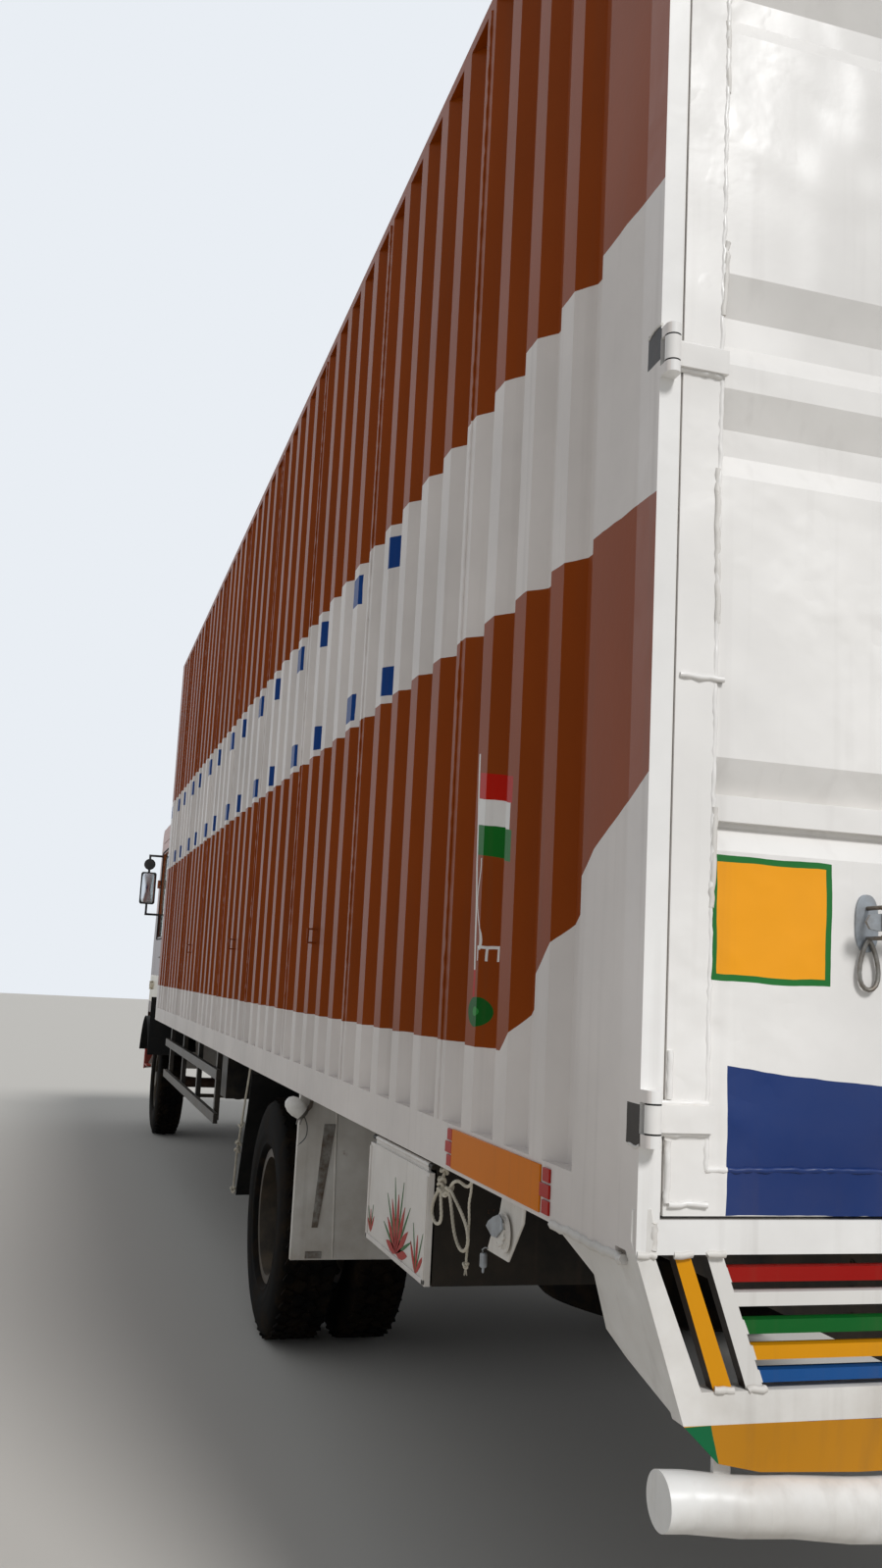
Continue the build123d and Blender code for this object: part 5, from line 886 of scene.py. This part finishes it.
# bent strap hammered round the foot of the left corner post
cornerStrap = [
    (-1.2235, 0.012, 1.168), (-1.196, -0.003, 1.172), (-1.19, -0.004, 1.135), (-1.197, -0.003, 1.095),
    (-1.218, 0.0, 1.088), (-1.2245, 0.012, 1.12),
]
shape = bmesh.new()
addPlate(shape, [(x, tailY + y, z) for x, y, z in cornerStrap], (0.002, 0.004, 0))
finishPiece("cornerStrap", shape, "brushedEnamelTail", bevel=0.001)

# mud panels: a pressed crease, a slanted strap and a foot clip on each
mudTrim = {
    "y": -3.072, "crease": [(1.066, 0.505), (1.082, 1.06)], "radius": 0.0035,
    "strap": [(1.083, 0.979), (1.126, 0.978), (1.15, 0.613), (1.128, 0.613)],
    "clip": [(1.108, 0.505), (1.168, 0.505), (1.168, 0.53), (1.108, 0.53)],
}
shape, folds = bmesh.new(), bmesh.new()
for side in sides:
    for part, thick in (("strap", 0.004), ("clip", 0.003)):
        addPlate(shape, [(side * x, mudTrim["y"] - thick, z) for x, z in mudTrim[part]], (0, thick, 0))
    addTube(folds, [(side * x, mudTrim["y"], z) for x, z in mudTrim["crease"]], mudTrim["radius"], 8)
finishPiece("mudPanelStraps", shape, "galvanisedSteelFitting", bevel=0.001)
finishPiece("mudPanelCreases", folds, "brushedEnamelMudPanel")


# Rubber flaps ahead of the rear wheels, blown forward at the foot, and the angle bars that they hang from
flap = {
    "line": [
        (4.3, 1.076), (4.305, 1.03), (4.325, 0.96), (4.355, 0.88), (4.4, 0.79), (4.44, 0.7), (4.485, 0.6),
        (4.525, 0.51), (4.54, 0.462),
    ],
    "bar": [(4.3, 1.083), (4.3, 1.048), (4.294, 1.048), (4.294, 1.077), (4.262, 1.077), (4.262, 1.083)],
    "inner": 0.6, "outer": 1.19, "columns": 12, "thick": 0.006, "wave": 0.012,
}
count, last = flap["columns"], len(flap["line"]) - 1
xs = [flap["inner"] + (flap["outer"] - flap["inner"]) * j / count for j in range(count + 1)]
edge = [(0, j) for j in range(count)] + [(k, count) for k in range(last)]
edge += [(last, j) for j in range(count, 0, -1)] + [(k, 0) for k in range(last, 0, -1)]
shape, bars = bmesh.new(), bmesh.new()
for side in sides:
    sheets = []
    for offset in (0.0, flap["thick"]):
        rows = []
        for k, (along, z) in enumerate(flap["line"]):
            y, ripple = tailY + along + offset, flap["wave"] * k / (last + 1)
            rows.append([shape.verts.new((side * x, y + ripple * math.sin(13 * x), z)) for x in xs])
        sheets.append(rows)
    for sheet in sheets:
        for low, high in zip(sheet, sheet[1:]):
            for j in range(count):
                shape.faces.new((low[j], low[j + 1], high[j + 1], high[j]))
    stitch(shape, *[[sheet[k][j] for k, j in edge] for sheet in sheets])
    ends = sorted((side * (flap["inner"] - 0.02), side * (flap["outer"] + 0.005)))
    addPlate(bars, [(ends[0], tailY + along, z) for along, z in flap["bar"]], (ends[1] - ends[0], 0, 0))
finishPiece("wheelFlaps", shape, "mouldedRubberGuard", bevel=0.001)
finishPiece("flapBars", bars, "brushedEnamelChassis", bevel=0.001)


# Tie ropes, each a NURBS line through given points (x, forward of the tail, z), laid up of three strands
def layRope(name, row):
    line = bpy.data.curves.new(name + "Line", "CURVE")
    line.dimensions = "3D"
    spline = line.splines.new("NURBS")
    spline.points.add(len(row["points"]) - 1)
    for spot, (x, along, z) in zip(spline.points, row["points"]):
        spot.co = (x, tailY + along, z, 1.0)
    spline.order_u = 3
    spline.use_endpoint_u = True
    spline.resolution_u = 10
    guide = bpy.data.objects.new(name + "Line", line)
    scene.collection.objects.link(guide)
    bpy.context.view_layer.update()
    read = bpy.data.meshes.new_from_object(guide.evaluated_get(bpy.context.evaluated_depsgraph_get()))
    path = [vert.co.copy() for vert in read.vertices]
    bpy.data.objects.remove(guide)
    radius = row["diameter"] / 2
    strands = row.get("strands", 3)
    finish = row.get("finish", "twistedCottonRope")
    offset, thickness = (0.44, 0.6) if strands > 1 else (0.0, 1.0)
    shape = bmesh.new()
    for strand in range(strands):
        run, side, spots = 0.0, None, []
        for index, point in enumerate(path):
            ahead = (path[min(index + 1, len(path) - 1)] - path[max(index - 1, 0)]).normalized()
            run += (point - path[max(index - 1, 0)]).length
            side = ahead.orthogonal() if side is None else side - ahead * side.dot(ahead)
            side.normalize()
            angle = 2 * math.pi * (run / ropeMake["lay"] + strand / strands)
            spots.append(point + offset * radius * (math.cos(angle) * side + math.sin(angle) * ahead.cross(side)))
        addTube(shape, spots, thickness * radius, 7)
    rope = finishPiece(name, shape, finish)
    if row["end"] == "knot":
        # an overhand knot and a short frayed tail
        foot = path[-1]
        shape = bmesh.new()
        knot = [
            Vector((math.sin(a) + 2 * math.sin(2 * a), math.sin(3 * a) * 1.3, math.cos(a) - 2 * math.cos(2 * a)))
            for a in circle(36, 1)
        ]
        addTube(shape, [foot + spot * radius * 0.75 for spot in knot], radius * 0.85, 8)
        for k in range(7):
            lean = Vector((math.cos(k * 2.4), math.sin(k * 2.4), 0)) * radius * (0.6 + 0.12 * k)
            drop = Vector((0, 0, -1)) * ropeMake["tail"] * (0.75 + 0.05 * k)
            addTube(shape, [foot, foot + lean * 0.6 + drop * 0.5, foot + lean + drop], radius * 0.28, 5)
        finishPiece(name + "Knot", shape, finish)
    if row["end"] == "bare":
        # the stripped core, a little bent
        shape = bmesh.new()
        ahead = (path[-1] - path[-2]).normalized()
        core = [path[-1] + ahead * reach - Vector((0, 0, sag)) for reach, sag in ropeMake["core"]]
        addTube(shape, core, radius * 0.4, 6)
        finishPiece(name + "Core", shape, "heatedSteelExhaust")
    if row.get("turns"):
        # turns of rope drawn tight round it
        shape = bmesh.new()
        for x, along, z in row["turns"]:
            lean = 2.0 * math.sin(900 * (along + z))
            addTube(shape, [
                Vector((x, tailY + along, z)) + 2.4 * radius * Vector((
                    0.8 * math.cos(a), math.sin(a), 0.45 * math.sin(2 * a + lean) + 0.3 * math.sin(a + lean)))
                for a in circle(24, 1)
            ], radius * 0.95, 7)
        finishPiece(name + "Turns", shape, finish)


ropeMake = {"lay": 0.03, "tail": 0.022, "core": [(-0.002, 0.0), (0.004, 0.0), (0.008, 0.002)]}
ropes = {
    "ropeSling": {
        "points": [
            (-1.206, 1.096, 1.084), (-1.207, 1.099, 1.066), (-1.210, 1.106, 1.044), (-1.212, 1.098, 1.022),
            (-1.212, 1.070, 1.016), (-1.211, 1.046, 1.032), (-1.209, 1.026, 1.056), (-1.207, 0.985, 1.067),
            (-1.205, 0.935, 1.060), (-1.205, 0.900, 1.068), (-1.205, 0.888, 1.084),
        ],
        "turns": [
            (-1.208, 1.098, 1.072), (-1.210, 1.105, 1.050), (-1.211, 1.107, 1.040), (-1.212, 1.103, 1.029),
            (-1.211, 1.049, 1.028), (-1.210, 1.043, 1.040),
        ],
        "diameter": 0.008, "length": 0.294, "end": "object",
    },
    "ropeTie": {
        "points": [
            (-1.212, 1.108, 1.034), (-1.213, 1.128, 1.020), (-1.214, 1.150, 1.000), (-1.214, 1.166, 0.978),
            (-1.213, 1.163, 0.956), (-1.212, 1.135, 0.944), (-1.211, 1.104, 0.950), (-1.211, 1.092, 0.970),
            (-1.212, 1.100, 0.996), (-1.212, 1.106, 1.028),
        ],
        "diameter": 0.008, "length": 0.241, "end": "object",
    },
    "ropeLoop": {
        "points": [
            (-1.211, 1.046, 1.036), (-1.213, 1.026, 1.024), (-1.215, 1.004, 1.002), (-1.215, 0.990, 0.972),
            (-1.214, 0.970, 0.945), (-1.213, 0.938, 0.925), (-1.212, 0.905, 0.925), (-1.212, 0.878, 0.946),
            (-1.213, 0.884, 0.976), (-1.214, 0.925, 1.002), (-1.213, 0.985, 1.024), (-1.211, 1.040, 1.042),
        ],
        "diameter": 0.008, "length": 0.419, "end": "object",
    },
    "ropeDrop": {
        "points": [
            (-1.203, 0.902, 1.084), (-1.203, 0.899, 1.058), (-1.205, 0.909, 1.03), (-1.204, 0.904, 1.0),
            (-1.203, 0.908, 0.965), (-1.203, 0.912, 0.925), (-1.204, 0.914, 0.895),
        ],
        "diameter": 0.006, "length": 0.19, "end": "knot",
    },
    "ropeFlap": {
        "points": [
            (-1.2, 4.29, 1.084), (-1.2, 4.3, 1.05), (-1.203, 4.34, 0.96), (-1.204, 4.385, 0.87), (-1.203, 4.43, 0.8),
            (-1.204, 4.455, 0.74), (-1.206, 4.49, 0.68), (-1.204, 4.52, 0.6), (-1.203, 4.54, 0.53),
            (-1.203, 4.545, 0.49),
        ],
        "turns": [(-1.203, 4.43, 0.8), (-1.205, 4.47, 0.715), (-1.205, 4.49, 0.68)],
        "diameter": 0.012, "length": 0.65, "end": "knot",
    },
    "markerWire": {
        "points": [
            (-1.214, 2.862, 1.014), (-1.199, 2.86, 0.992), (-1.195, 2.858, 0.955), (-1.202, 2.857, 0.928),
            (-1.222, 2.856, 0.912),
        ],
        "diameter": 0.004, "length": 0.115, "end": "bare", "finish": "mouldedPlasticGrille", "strands": 1,
    },
}
for name, row in ropes.items():
    layRope(name, row)
print("left rail fittings made")


# Doors and cab fittings: gaskets, door handles, wipers, mirror faces, lamp rims, blank tail plate
rearward = ((1, 0, 0), (0, 0, 1), (0, -1, 0))
gasket = {"across": (0.008, 1.173), "heights": (1.162, 4.102), "depths": (0.046, 0.0515), "width": 0.012}
(low, high), (bottom, top), wide = gasket["across"], gasket["heights"], gasket["width"]
for side, body in zip(sides, ("rear_door_left", "rear_door_right")):
    shape = bmesh.new()
    for x0, x1, z0, z1 in (
        (low, low + wide, bottom, top), (high - wide, high, bottom, top),
        (low, high, bottom, bottom + wide), (low, high, top - wide, top),
    ):
        ends = sorted((side * x0, side * x1))
        near, far = [tailY + depth for depth in gasket["depths"]]
        addBlock(shape, (ends[0], near, z0), (ends[1], far, z1))
    finishPiece(body + "Gasket", shape, "mouldedRubberGuard", body, bevel=0.001)

# rubber strips on the portal's posts, painted over with it
portalStrip = {"across": (1.1765, 1.181), "depths": (0.004, 0.03), "heights": (1.165, 4.1)}
shape = bmesh.new()
for side in sides:
    corners = zip(sorted(side * x for x in portalStrip["across"]), portalStrip["depths"], portalStrip["heights"])
    addBlock(shape, *[(x, tailY + y, z) for x, y, z in corners])
finishPiece("portalStrips", shape, "brushedEnamelWeld", bevel=0.001)

# Lock gear: round rods in saddles, collars, flat handles in staples, each with a loop hanging from it
lock = {
    "rods": (0.62, 0.15), "rodY": tailY - 0.034, "radius": 0.014, "foot": 1.172, "top": 4.092, "handle": 1.65,
    "catch": 0.18, "guides": ((1.195, 0.0), (1.5, 0.004), (2.15, 0.004), (3.05, 0.004), (4.069, 0.0)),  # z, setback
    "saddle": (0.019, 0.0146), "tall": 0.028, "base": (0.072, 0.036), "plate": (0.046, 0.1),
    "rivet": [(0.0, 0.0), (0.0, 0.006), (-0.003, 0.005), (-0.0045, 0.0)], "rivets": (-0.028, 0.028),
    "grip": [(0.0, 0.016), (0.03, 0.019), (0.06, 0.013), (0.14, 0.011), (0.185, 0.015), (0.206, 0.012), (0.213, 0.0)],
}
radius = lock["radius"]
rod = [(lock["foot"], 0.0), (lock["foot"], 0.01), (lock["foot"] + 0.006, radius)]
rod += [(lock["top"] - 0.006, radius), (lock["top"], 0.01), (lock["top"], 0.0)]
collar = [(-0.026, radius), (-0.026, 0.02), (-0.022, 0.0215), (0.022, 0.0215), (0.026, 0.02), (0.026, radius)]
grip = lock["grip"] + [(reach, -rise) for reach, rise in reversed(lock["grip"][:-1])]
wide, narrow = lock["saddle"]
for side, word in zip(sides, ("left", "right")):
    body = "rear_door_" + word
    steel, loops = bmesh.new(), bmesh.new()
    for x in [side * across for across in lock["rods"]]:
        y, z = lock["rodY"], lock["handle"]
        addRevolve(steel, rod, (x, y, 0.0), "Z", 24)
        for height, setback in lock["guides"]:
            face = tailY + setback
            saddle = []
            for reach, way in ((wide, 1), (narrow, -1)):
                saddle += [(x - way * reach, face), (x - way * reach, y)]
                saddle += [(x - reach * math.cos(a) * way, y - reach * math.sin(a)) for a in circle(20)[1:10]]
                saddle += [(x + way * reach, y), (x + way * reach, face)]
            addPlate(steel, [(a, b, height - lock["tall"] / 2) for a, b in saddle], (0, 0, lock["tall"]))
            addPad(steel, (x, face - 0.003, height), lock["base"], 0.003, 0.0005, rearward, corner=5.0)
            for reach in lock["rivets"]:
                addRevolve(steel, lock["rivet"], (x + reach, face - 0.0032, height), "Y", 8)
        addRevolve(steel, collar, (x, y, z), "Z", 24)
        addPlate(steel, [(x + side * reach, y - 0.0138, z + rise) for reach, rise in grip], (0, 0.006, 0))
        catch = x + side * lock["catch"]
        face = tailY + 0.004
        addPad(steel, (catch, face - 0.004, z), lock["plate"], 0.004, 0.0006, rearward, corner=2.6)
        arch = [(face - 0.002, 0.026), (y - 0.009, 0.026), (y - 0.0168, 0.02)]
        arch += [(y - 0.0176, 0.0)] + [(back, -rise) for back, rise in reversed(arch)]
        addTube(loops, [(catch, back, z + rise) for back, rise in arch], 0.0038, 8)
        addTube(loops, [
            (catch + 0.014 * math.sin(a) * (1.25 - 0.5 * math.cos(a)), face - 0.009, z - 0.072 + 0.042 * math.cos(a))
            for a in circle(20, 1)
        ], 0.0042, 8)
    bmesh.ops.remove_doubles(steel, verts=steel.verts[:], dist=1e-5)
    rods = finishPiece(body + "LockGear", steel, "galvanisedSteelRod", body)
    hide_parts("lock_gear_" + word)
    finishPiece(body + "LockLoops", loops, "galvanisedSteelFitting", body)

# dark rings in the gaps between the hinge barrels: partly grime, partly painted shade for the narrow gaps
hingeGap = {"x": 1.206, "y": tailY - 0.02, "rises": (-0.0235, 0.0235), "radii": (0.009, 0.0137), "half": 0.0018}
half, (inner, outer) = hingeGap["half"], hingeGap["radii"]
shape = bmesh.new()
for side in sides:
    for height in doorWelds["hinges"]:
        for rise in hingeGap["rises"]:
            addRevolve(shape, [(-half, inner), (-half, outer), (half, outer), (half, inner)],
                       (side * hingeGap["x"], hingeGap["y"], height + rise), "Z", 20)
finishPiece("hingeGaps", shape, "mouldedRubberGuard")

# Beads round the posts' dark patches (painted shade for recesses), where the folded strap leaves room for them
recessShadeRim = {
    "x": 1.2194, "rises": (-0.012, 0.02, 0.0), "strap": 0.036, "spacing": 0.006, "radius": 0.003,
    "edge": [
        (-0.002, -0.031), (0.012, -0.036), (0.041, -0.033), (0.049, -0.02), (0.046, 0.004), (0.051, 0.027),
        (0.028, 0.034), (-0.002, 0.033),
    ],
}
lines = []
for side in sides:
    for height, rise in zip(doorWelds["hinges"], recessShadeRim["rises"]):
        ring = [(side * recessShadeRim["x"], tailY + y, height + rise + z) for y, z in recessShadeRim["edge"]]
        clear = [abs(point[2] - height) > recessShadeRim["strap"] for point in ring]
        lines += [[ring[k], ring[k + 1]] for k in range(len(ring) - 1) if clear[k] and clear[k + 1]]
weldLines("hingeWelds", lines, recessShadeRim["spacing"], recessShadeRim["radius"], 41)

# Firewall under the dash with pressed beads, a finned radiator core behind the grille, and three pedals
wall = {
    "y": 5.77, "half": 1.112, "heights": (1.112, 1.484), "beads": (1.19, 1.27, 1.35, 1.43), "thick": 0.0015,
    "bead": [(0.0, -0.02), (0.008, -0.01), (0.008, 0.01), (0.0, 0.02)],
}
line = [(y, bead + z) for bead in wall["beads"] for y, z in wall["bead"]]
line = [(0.0, wall["heights"][0])] + line + [(0.0, wall["heights"][1])]
line += [(y + wall["thick"], z) for y, z in reversed(line)]
shape = bmesh.new()
addPlate(shape, [(-wall["half"], wall["y"] + y, z) for y, z in line], (2 * wall["half"], 0, 0))
finishPiece("firewall", shape, "brushedEnamelChassis", smooth=False)
core = {
    "tanks": ((1.135, 1.19), (1.43, 1.475)), "fins": 32, "fin": 0.0015, "finPitch": 0.0075, "half": 0.49,
    "tubes": 21, "tubePitch": 0.048,
}
shape = bmesh.new()
for low, high in core["tanks"]:
    addPad(shape, (0.0, 5.86, (low + high) / 2), (1.0, high - low), 0.05, 0.004, rearward, corner=9.0)
for k in range(core["fins"]):
    z = 1.192 + core["finPitch"] * k
    addBlock(shape, (-core["half"], 5.865, z), (core["half"], 5.9, z + core["fin"]))
for k in range(core["tubes"]):
    addTube(shape, [(-0.48 + core["tubePitch"] * k, 5.882, z) for z in (1.18, 1.44)], 0.006, 6)
finishPiece("radiatorCore", shape, "brushedEnamelChassis")
pedals = {
    "x": (0.56, 0.80, 0.93), "arm": [(0.002, 1.46), (0.05, 1.44), (0.12, 1.3), (0.115, 1.235)], "radius": 0.008,
    "pad": (0.062, 0.085),
}
shape = bmesh.new()
for x in pedals["x"]:
    addTube(shape, [(x, wall["y"] - y, z) for y, z in pedals["arm"]], pedals["radius"], 8)
    addPad(shape, (x, wall["y"] - 0.127, 1.235), pedals["pad"], 0.009, 0.003, rearward, corner=5.0)
finishPiece("pedals", shape, "mouldedRubberGuard")

cabDoor = {
    "grip": [(1.12, 0.0), (1.15, 0.006), (1.153, 0.03), (1.153, 0.11), (1.15, 0.134), (1.12, 0.14)],
    "gripY": 4.64, "gripZ": 1.62,
    "seal": [(4.62, 1.8), (4.62, 2.66), (5.51, 2.66), (5.51, 1.8), (4.62, 1.8)], "sealX": 1.1265,
}
for side, body in zip(sides, ("cab_door_left", "cab_door_right")):
    for part, points, radius, count, finish, slot in (
        ("Handle", [(side * x, cabDoor["gripY"] + y, cabDoor["gripZ"]) for x, y in cabDoor["grip"]],
         0.008, 10, "galvanisedSteelFitting", "rod_steel"),
        ("Seal", [(side * cabDoor["sealX"], y, z) for y, z in cabDoor["seal"]],
         0.009, 8, "mouldedRubberGuard", "mudguard_rubber"),
    ):
        shape = bmesh.new()
        addTube(shape, points, radius, count)
        finishPiece(body + part, shape, finish, body)

wiper = {
    "x": (-0.55, 0.45), "foot": (5.925, 1.83), "knee": (0.02, 0.012, 0.03), "tip": (0.30, -0.053, 0.35),
    "half": (0.03, -0.036, 0.24),
}
shape = bmesh.new()
for x in wiper["x"]:
    foot = Vector((x, *wiper["foot"]))
    tip, half = foot + Vector(wiper["tip"]), Vector(wiper["half"])
    addTube(shape, [foot, foot + Vector(wiper["knee"]), tip], 0.006, 8)
    addTube(shape, [tip - half, tip + half], 0.007, 6)
finishPiece("wipers", shape, "mouldedPlasticGrille")

mirror = {"place": (1.245, 5.6485, 2.31), "size": (0.124, 0.294)}
x, y, z = mirror["place"]
shape = bmesh.new()
for side in sides:
    addPad(shape, (side * x, y, z), mirror["size"], 0.002, 0.003, rearward, corner=7.0)
finishPiece("mirrorFaces", shape, "silveredGlassMirror")

# Lamps: fluted head lamps over bright bowls, ribbed tail lamps on rubber seats, stub markers on the sides
headLamp = {
    "place": (0.88, 6.0145, 0.69),
    "rim": [(0.0, 0.084), (0.0, 0.1), (0.006, 0.102), (0.011, 0.097), (0.0125, 0.09), (0.009, 0.084)],
    "lens": [
        (0.001, 0.0838), (0.006, 0.072), (0.01, 0.045), (0.0118, 0.0), (0.0078, 0.0), (0.006, 0.045), (0.002, 0.07),
        (-0.002, 0.0838),
    ],
    "bowl": [
        (-0.003, 0.083), (-0.02, 0.076), (-0.045, 0.052), (-0.058, 0.018), (-0.06, 0.0), (-0.064, 0.0), (-0.062, 0.02),
        (-0.048, 0.056), (-0.022, 0.081), (-0.004, 0.0845),
    ],
}
lampPieces = []
x, y, z = headLamp["place"]
for part, name, finish, slot in (
    ("rim", "headLampRims", "galvanisedSteelFitting", "rod_steel"),
    ("lens", "headLampLenses", "mouldedAcrylicClear", "lamp_plastic"),
    ("bowl", "headLampBowls", "polishedSteelReflector", "rod_steel"),
):
    shape = bmesh.new()
    for side in sides:
        addRevolve(shape, headLamp[part], (side * x, y, z), "Y", 40)
    if part != "rim":
        bmesh.ops.remove_doubles(shape, verts=shape.verts[:], dist=1e-5)
    piece = finishPiece(name, shape, finish)
    if part == "lens":
        lampPieces.append(piece)
tailLamp = {
    "place": (0.24, -5.948, 0.99), "size": (0.184, 0.08), "rim": 0.012,
    "screw": [(0.0, 0.0005), (0.0, 0.0045), (0.002, 0.0038), (0.0028, 0.0005)],
}
seats, lenses = bmesh.new(), bmesh.new()
x, y, z = tailLamp["place"]
wide, tall = tailLamp["size"]
rim = tailLamp["rim"]
for side in sides:
    addPad(seats, (side * x, y, z), (wide + rim, tall + rim), 0.012, 0.001, rearward, corner=6.0)
    addPad(lenses, (side * x, y - 0.009, z), (wide, tall), 0.009, 0.007, rearward, corner=6.0)
    for reach in sides:
        addRevolve(seats, tailLamp["screw"], (side * x + reach * (wide / 2 - 0.014), y - 0.0175, z), "Y", 10)
finishPiece("tailLampSeats", seats, "mouldedRubberGuard")
lampPieces.append(finishPiece("tailLampLenses", lenses, "mouldedAcrylicTail"))
marker = {
    "place": (1.213, -3.109, 1.018), "tilt": 38,
    "bulb": [
        (0.0, 0.0), (0.0, 0.02), (0.005, 0.0275), (0.028, 0.0325), (0.052, 0.031), (0.07, 0.0235), (0.079, 0.0125),
        (0.082, 0.0),
    ],
    "cup": [
        (-0.008, 0.0), (-0.008, 0.018), (-0.003, 0.0245), (0.006, 0.0285), (0.007, 0.0265), (0.0, 0.02), (0.0, 0.0),
    ],
    "arm": [(-0.004, -0.012), (0.004, -0.004), (-0.026, 0.03), (-0.03, 0.058), (-0.04, 0.058), (-0.034, 0.022)],
    "legs": ((0.0, 0.008), (0.014, 0.02)),
}
stubs, holders = bmesh.new(), bmesh.new()
x, y, z = marker["place"]
for side in sides:
    for shape, part in ((stubs, "bulb"), (holders, "cup")):
        count = len(shape.verts)
        addRevolve(shape, [(side * along, radius) for along, radius in marker[part]], (side * x, y, z), "X", 28)
        shape.verts.ensure_lookup_table()
        tilt = Matrix.Rotation(math.radians(-side * marker["tilt"]), 3, "Y")
        bmesh.ops.rotate(shape, verts=shape.verts[count:], cent=(side * x, y, z), matrix=tilt)
    addPlate(holders, [(side * (x + a), y + 0.012, z + b) for a, b in marker["arm"]], (0, 0.0245, 0))
    for leg, foot in marker["legs"]:
        corners = ((leg - 0.002, -0.008), (leg + 0.004, -0.004), (foot + 0.004, -0.038), (foot, -0.04))
        addPlate(holders, [(side * (x + a), y, z + b) for a, b in corners], (0, 0.006, 0))
for shape in (stubs, holders):
    bmesh.ops.remove_doubles(shape, verts=shape.verts[:], dist=1e-5)
lampPieces.append(finishPiece("markerStubs", stubs, "mouldedPlasticMarker"))
finishPiece("markerHolders", holders, "galvanisedSteelFitting")
for piece in lampPieces:
    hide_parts("lamps")

# blank tail plate with a rolled rim
tailPlate = {"centre": (0.0, -5.937, 0.99), "size": (0.26, 0.13), "radius": 0.0018}
shape = bmesh.new()
addPad(shape, tailPlate["centre"], tailPlate["size"], 0.002, 0.0006, rearward, corner=12.0)
half = [size / 2 - 0.002 for size in tailPlate["size"]]
x, y, z = tailPlate["centre"]
corners = [(x + a * half[0], y - 0.0008, z + b * half[1]) for a, b in ((-1, -1), (1, -1), (1, 1), (-1, 1))]
for ends in zip(corners, corners[1:] + corners[:1]):
    addTube(shape, ends, tailPlate["radius"], 6)
finishPiece("tailPlate", shape, "brushedEnamelPlate")
print("cab and door fittings made")


# Seats: crowned cushions with pressed channels on painted pedestals
seatSet = {
    "x": (-0.70, 0.70), "half": 0.245, "cushion": ((4.66, 5.125), (1.425, 1.553)),
    "back": ((4.58, 4.688), (1.505, 2.132)), "bench": ((3.945, 4.222), (1.30, 1.558)), "benchHalf": 1.07,
    "pedestal": ((4.70, 5.075), (1.126, 1.43)), "pedestalHalf": 0.2, "pull": 0.014, "crown": 0.03, "channel": 0.01,
    "plinth": ((-1.06, 3.945, 1.126), (1.06, 4.2, 1.31)),
}


def makeCushion(name, middle, half, part, crownAxis):
    (y0, y1), (z0, z1) = seatSet[part]
    low, high = Vector((middle - half, y0, z0)), Vector((middle + half, y1, z1))
    shape = bmesh.new()
    addBlock(shape, low, high)
    bmesh.ops.subdivide_edges(shape, edges=shape.edges[:], cuts=11, use_grid_fill=True)
    middle, half = (low + high) / 2, (high - low) / 2
    for vert in shape.verts:
        t = [(vert.co[k] - middle[k]) / half[k] for k in range(3)]
        for k in range(3):
            a, b = [abs(t[j]) for j in range(3) if j != k]
            pull = seatSet["crown"] if k == crownAxis else seatSet["pull"]
            vert.co[k] -= t[k] * pull * max(0.0, a ** 4 + b ** 4 - a ** 4 * b ** 4) * min(1.0, half[k] * 8)
        if abs(t[crownAxis]) > 0.98:
            channel = abs(math.sin(3.0 * math.pi * t[0]))
            vert.co[crownAxis] -= math.copysign(seatSet["channel"] * (1 - channel) ** 3, t[crownAxis])
    piece = finishPiece(name, shape, "wovenCottonSeat")
    soft = piece.modifiers.new("soft", "SUBSURF")
    soft.levels = soft.render_levels = 1
    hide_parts("seats")


for x, word in zip(seatSet["x"], ("Left", "Right")):
    for part, crownAxis in (("cushion", 2), ("back", 1)):
        makeCushion("seat" + part.capitalize() + word, x, seatSet["half"], part, crownAxis)
makeCushion("benchCushion", 0.0, seatSet["benchHalf"], "bench", 2)
shape = bmesh.new()
(y0, y1), (z0, z1) = seatSet["pedestal"]
for x in seatSet["x"]:
    addBlock(shape, (x - seatSet["pedestalHalf"], y0, z0), (x + seatSet["pedestalHalf"], y1, z1))
addBlock(shape, *seatSet["plinth"])
pedestals = finishPiece("seatPedestals", shape, "brushedEnamelBox", bevel=0.006)
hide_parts("seats")
print("seats made")

low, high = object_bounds()
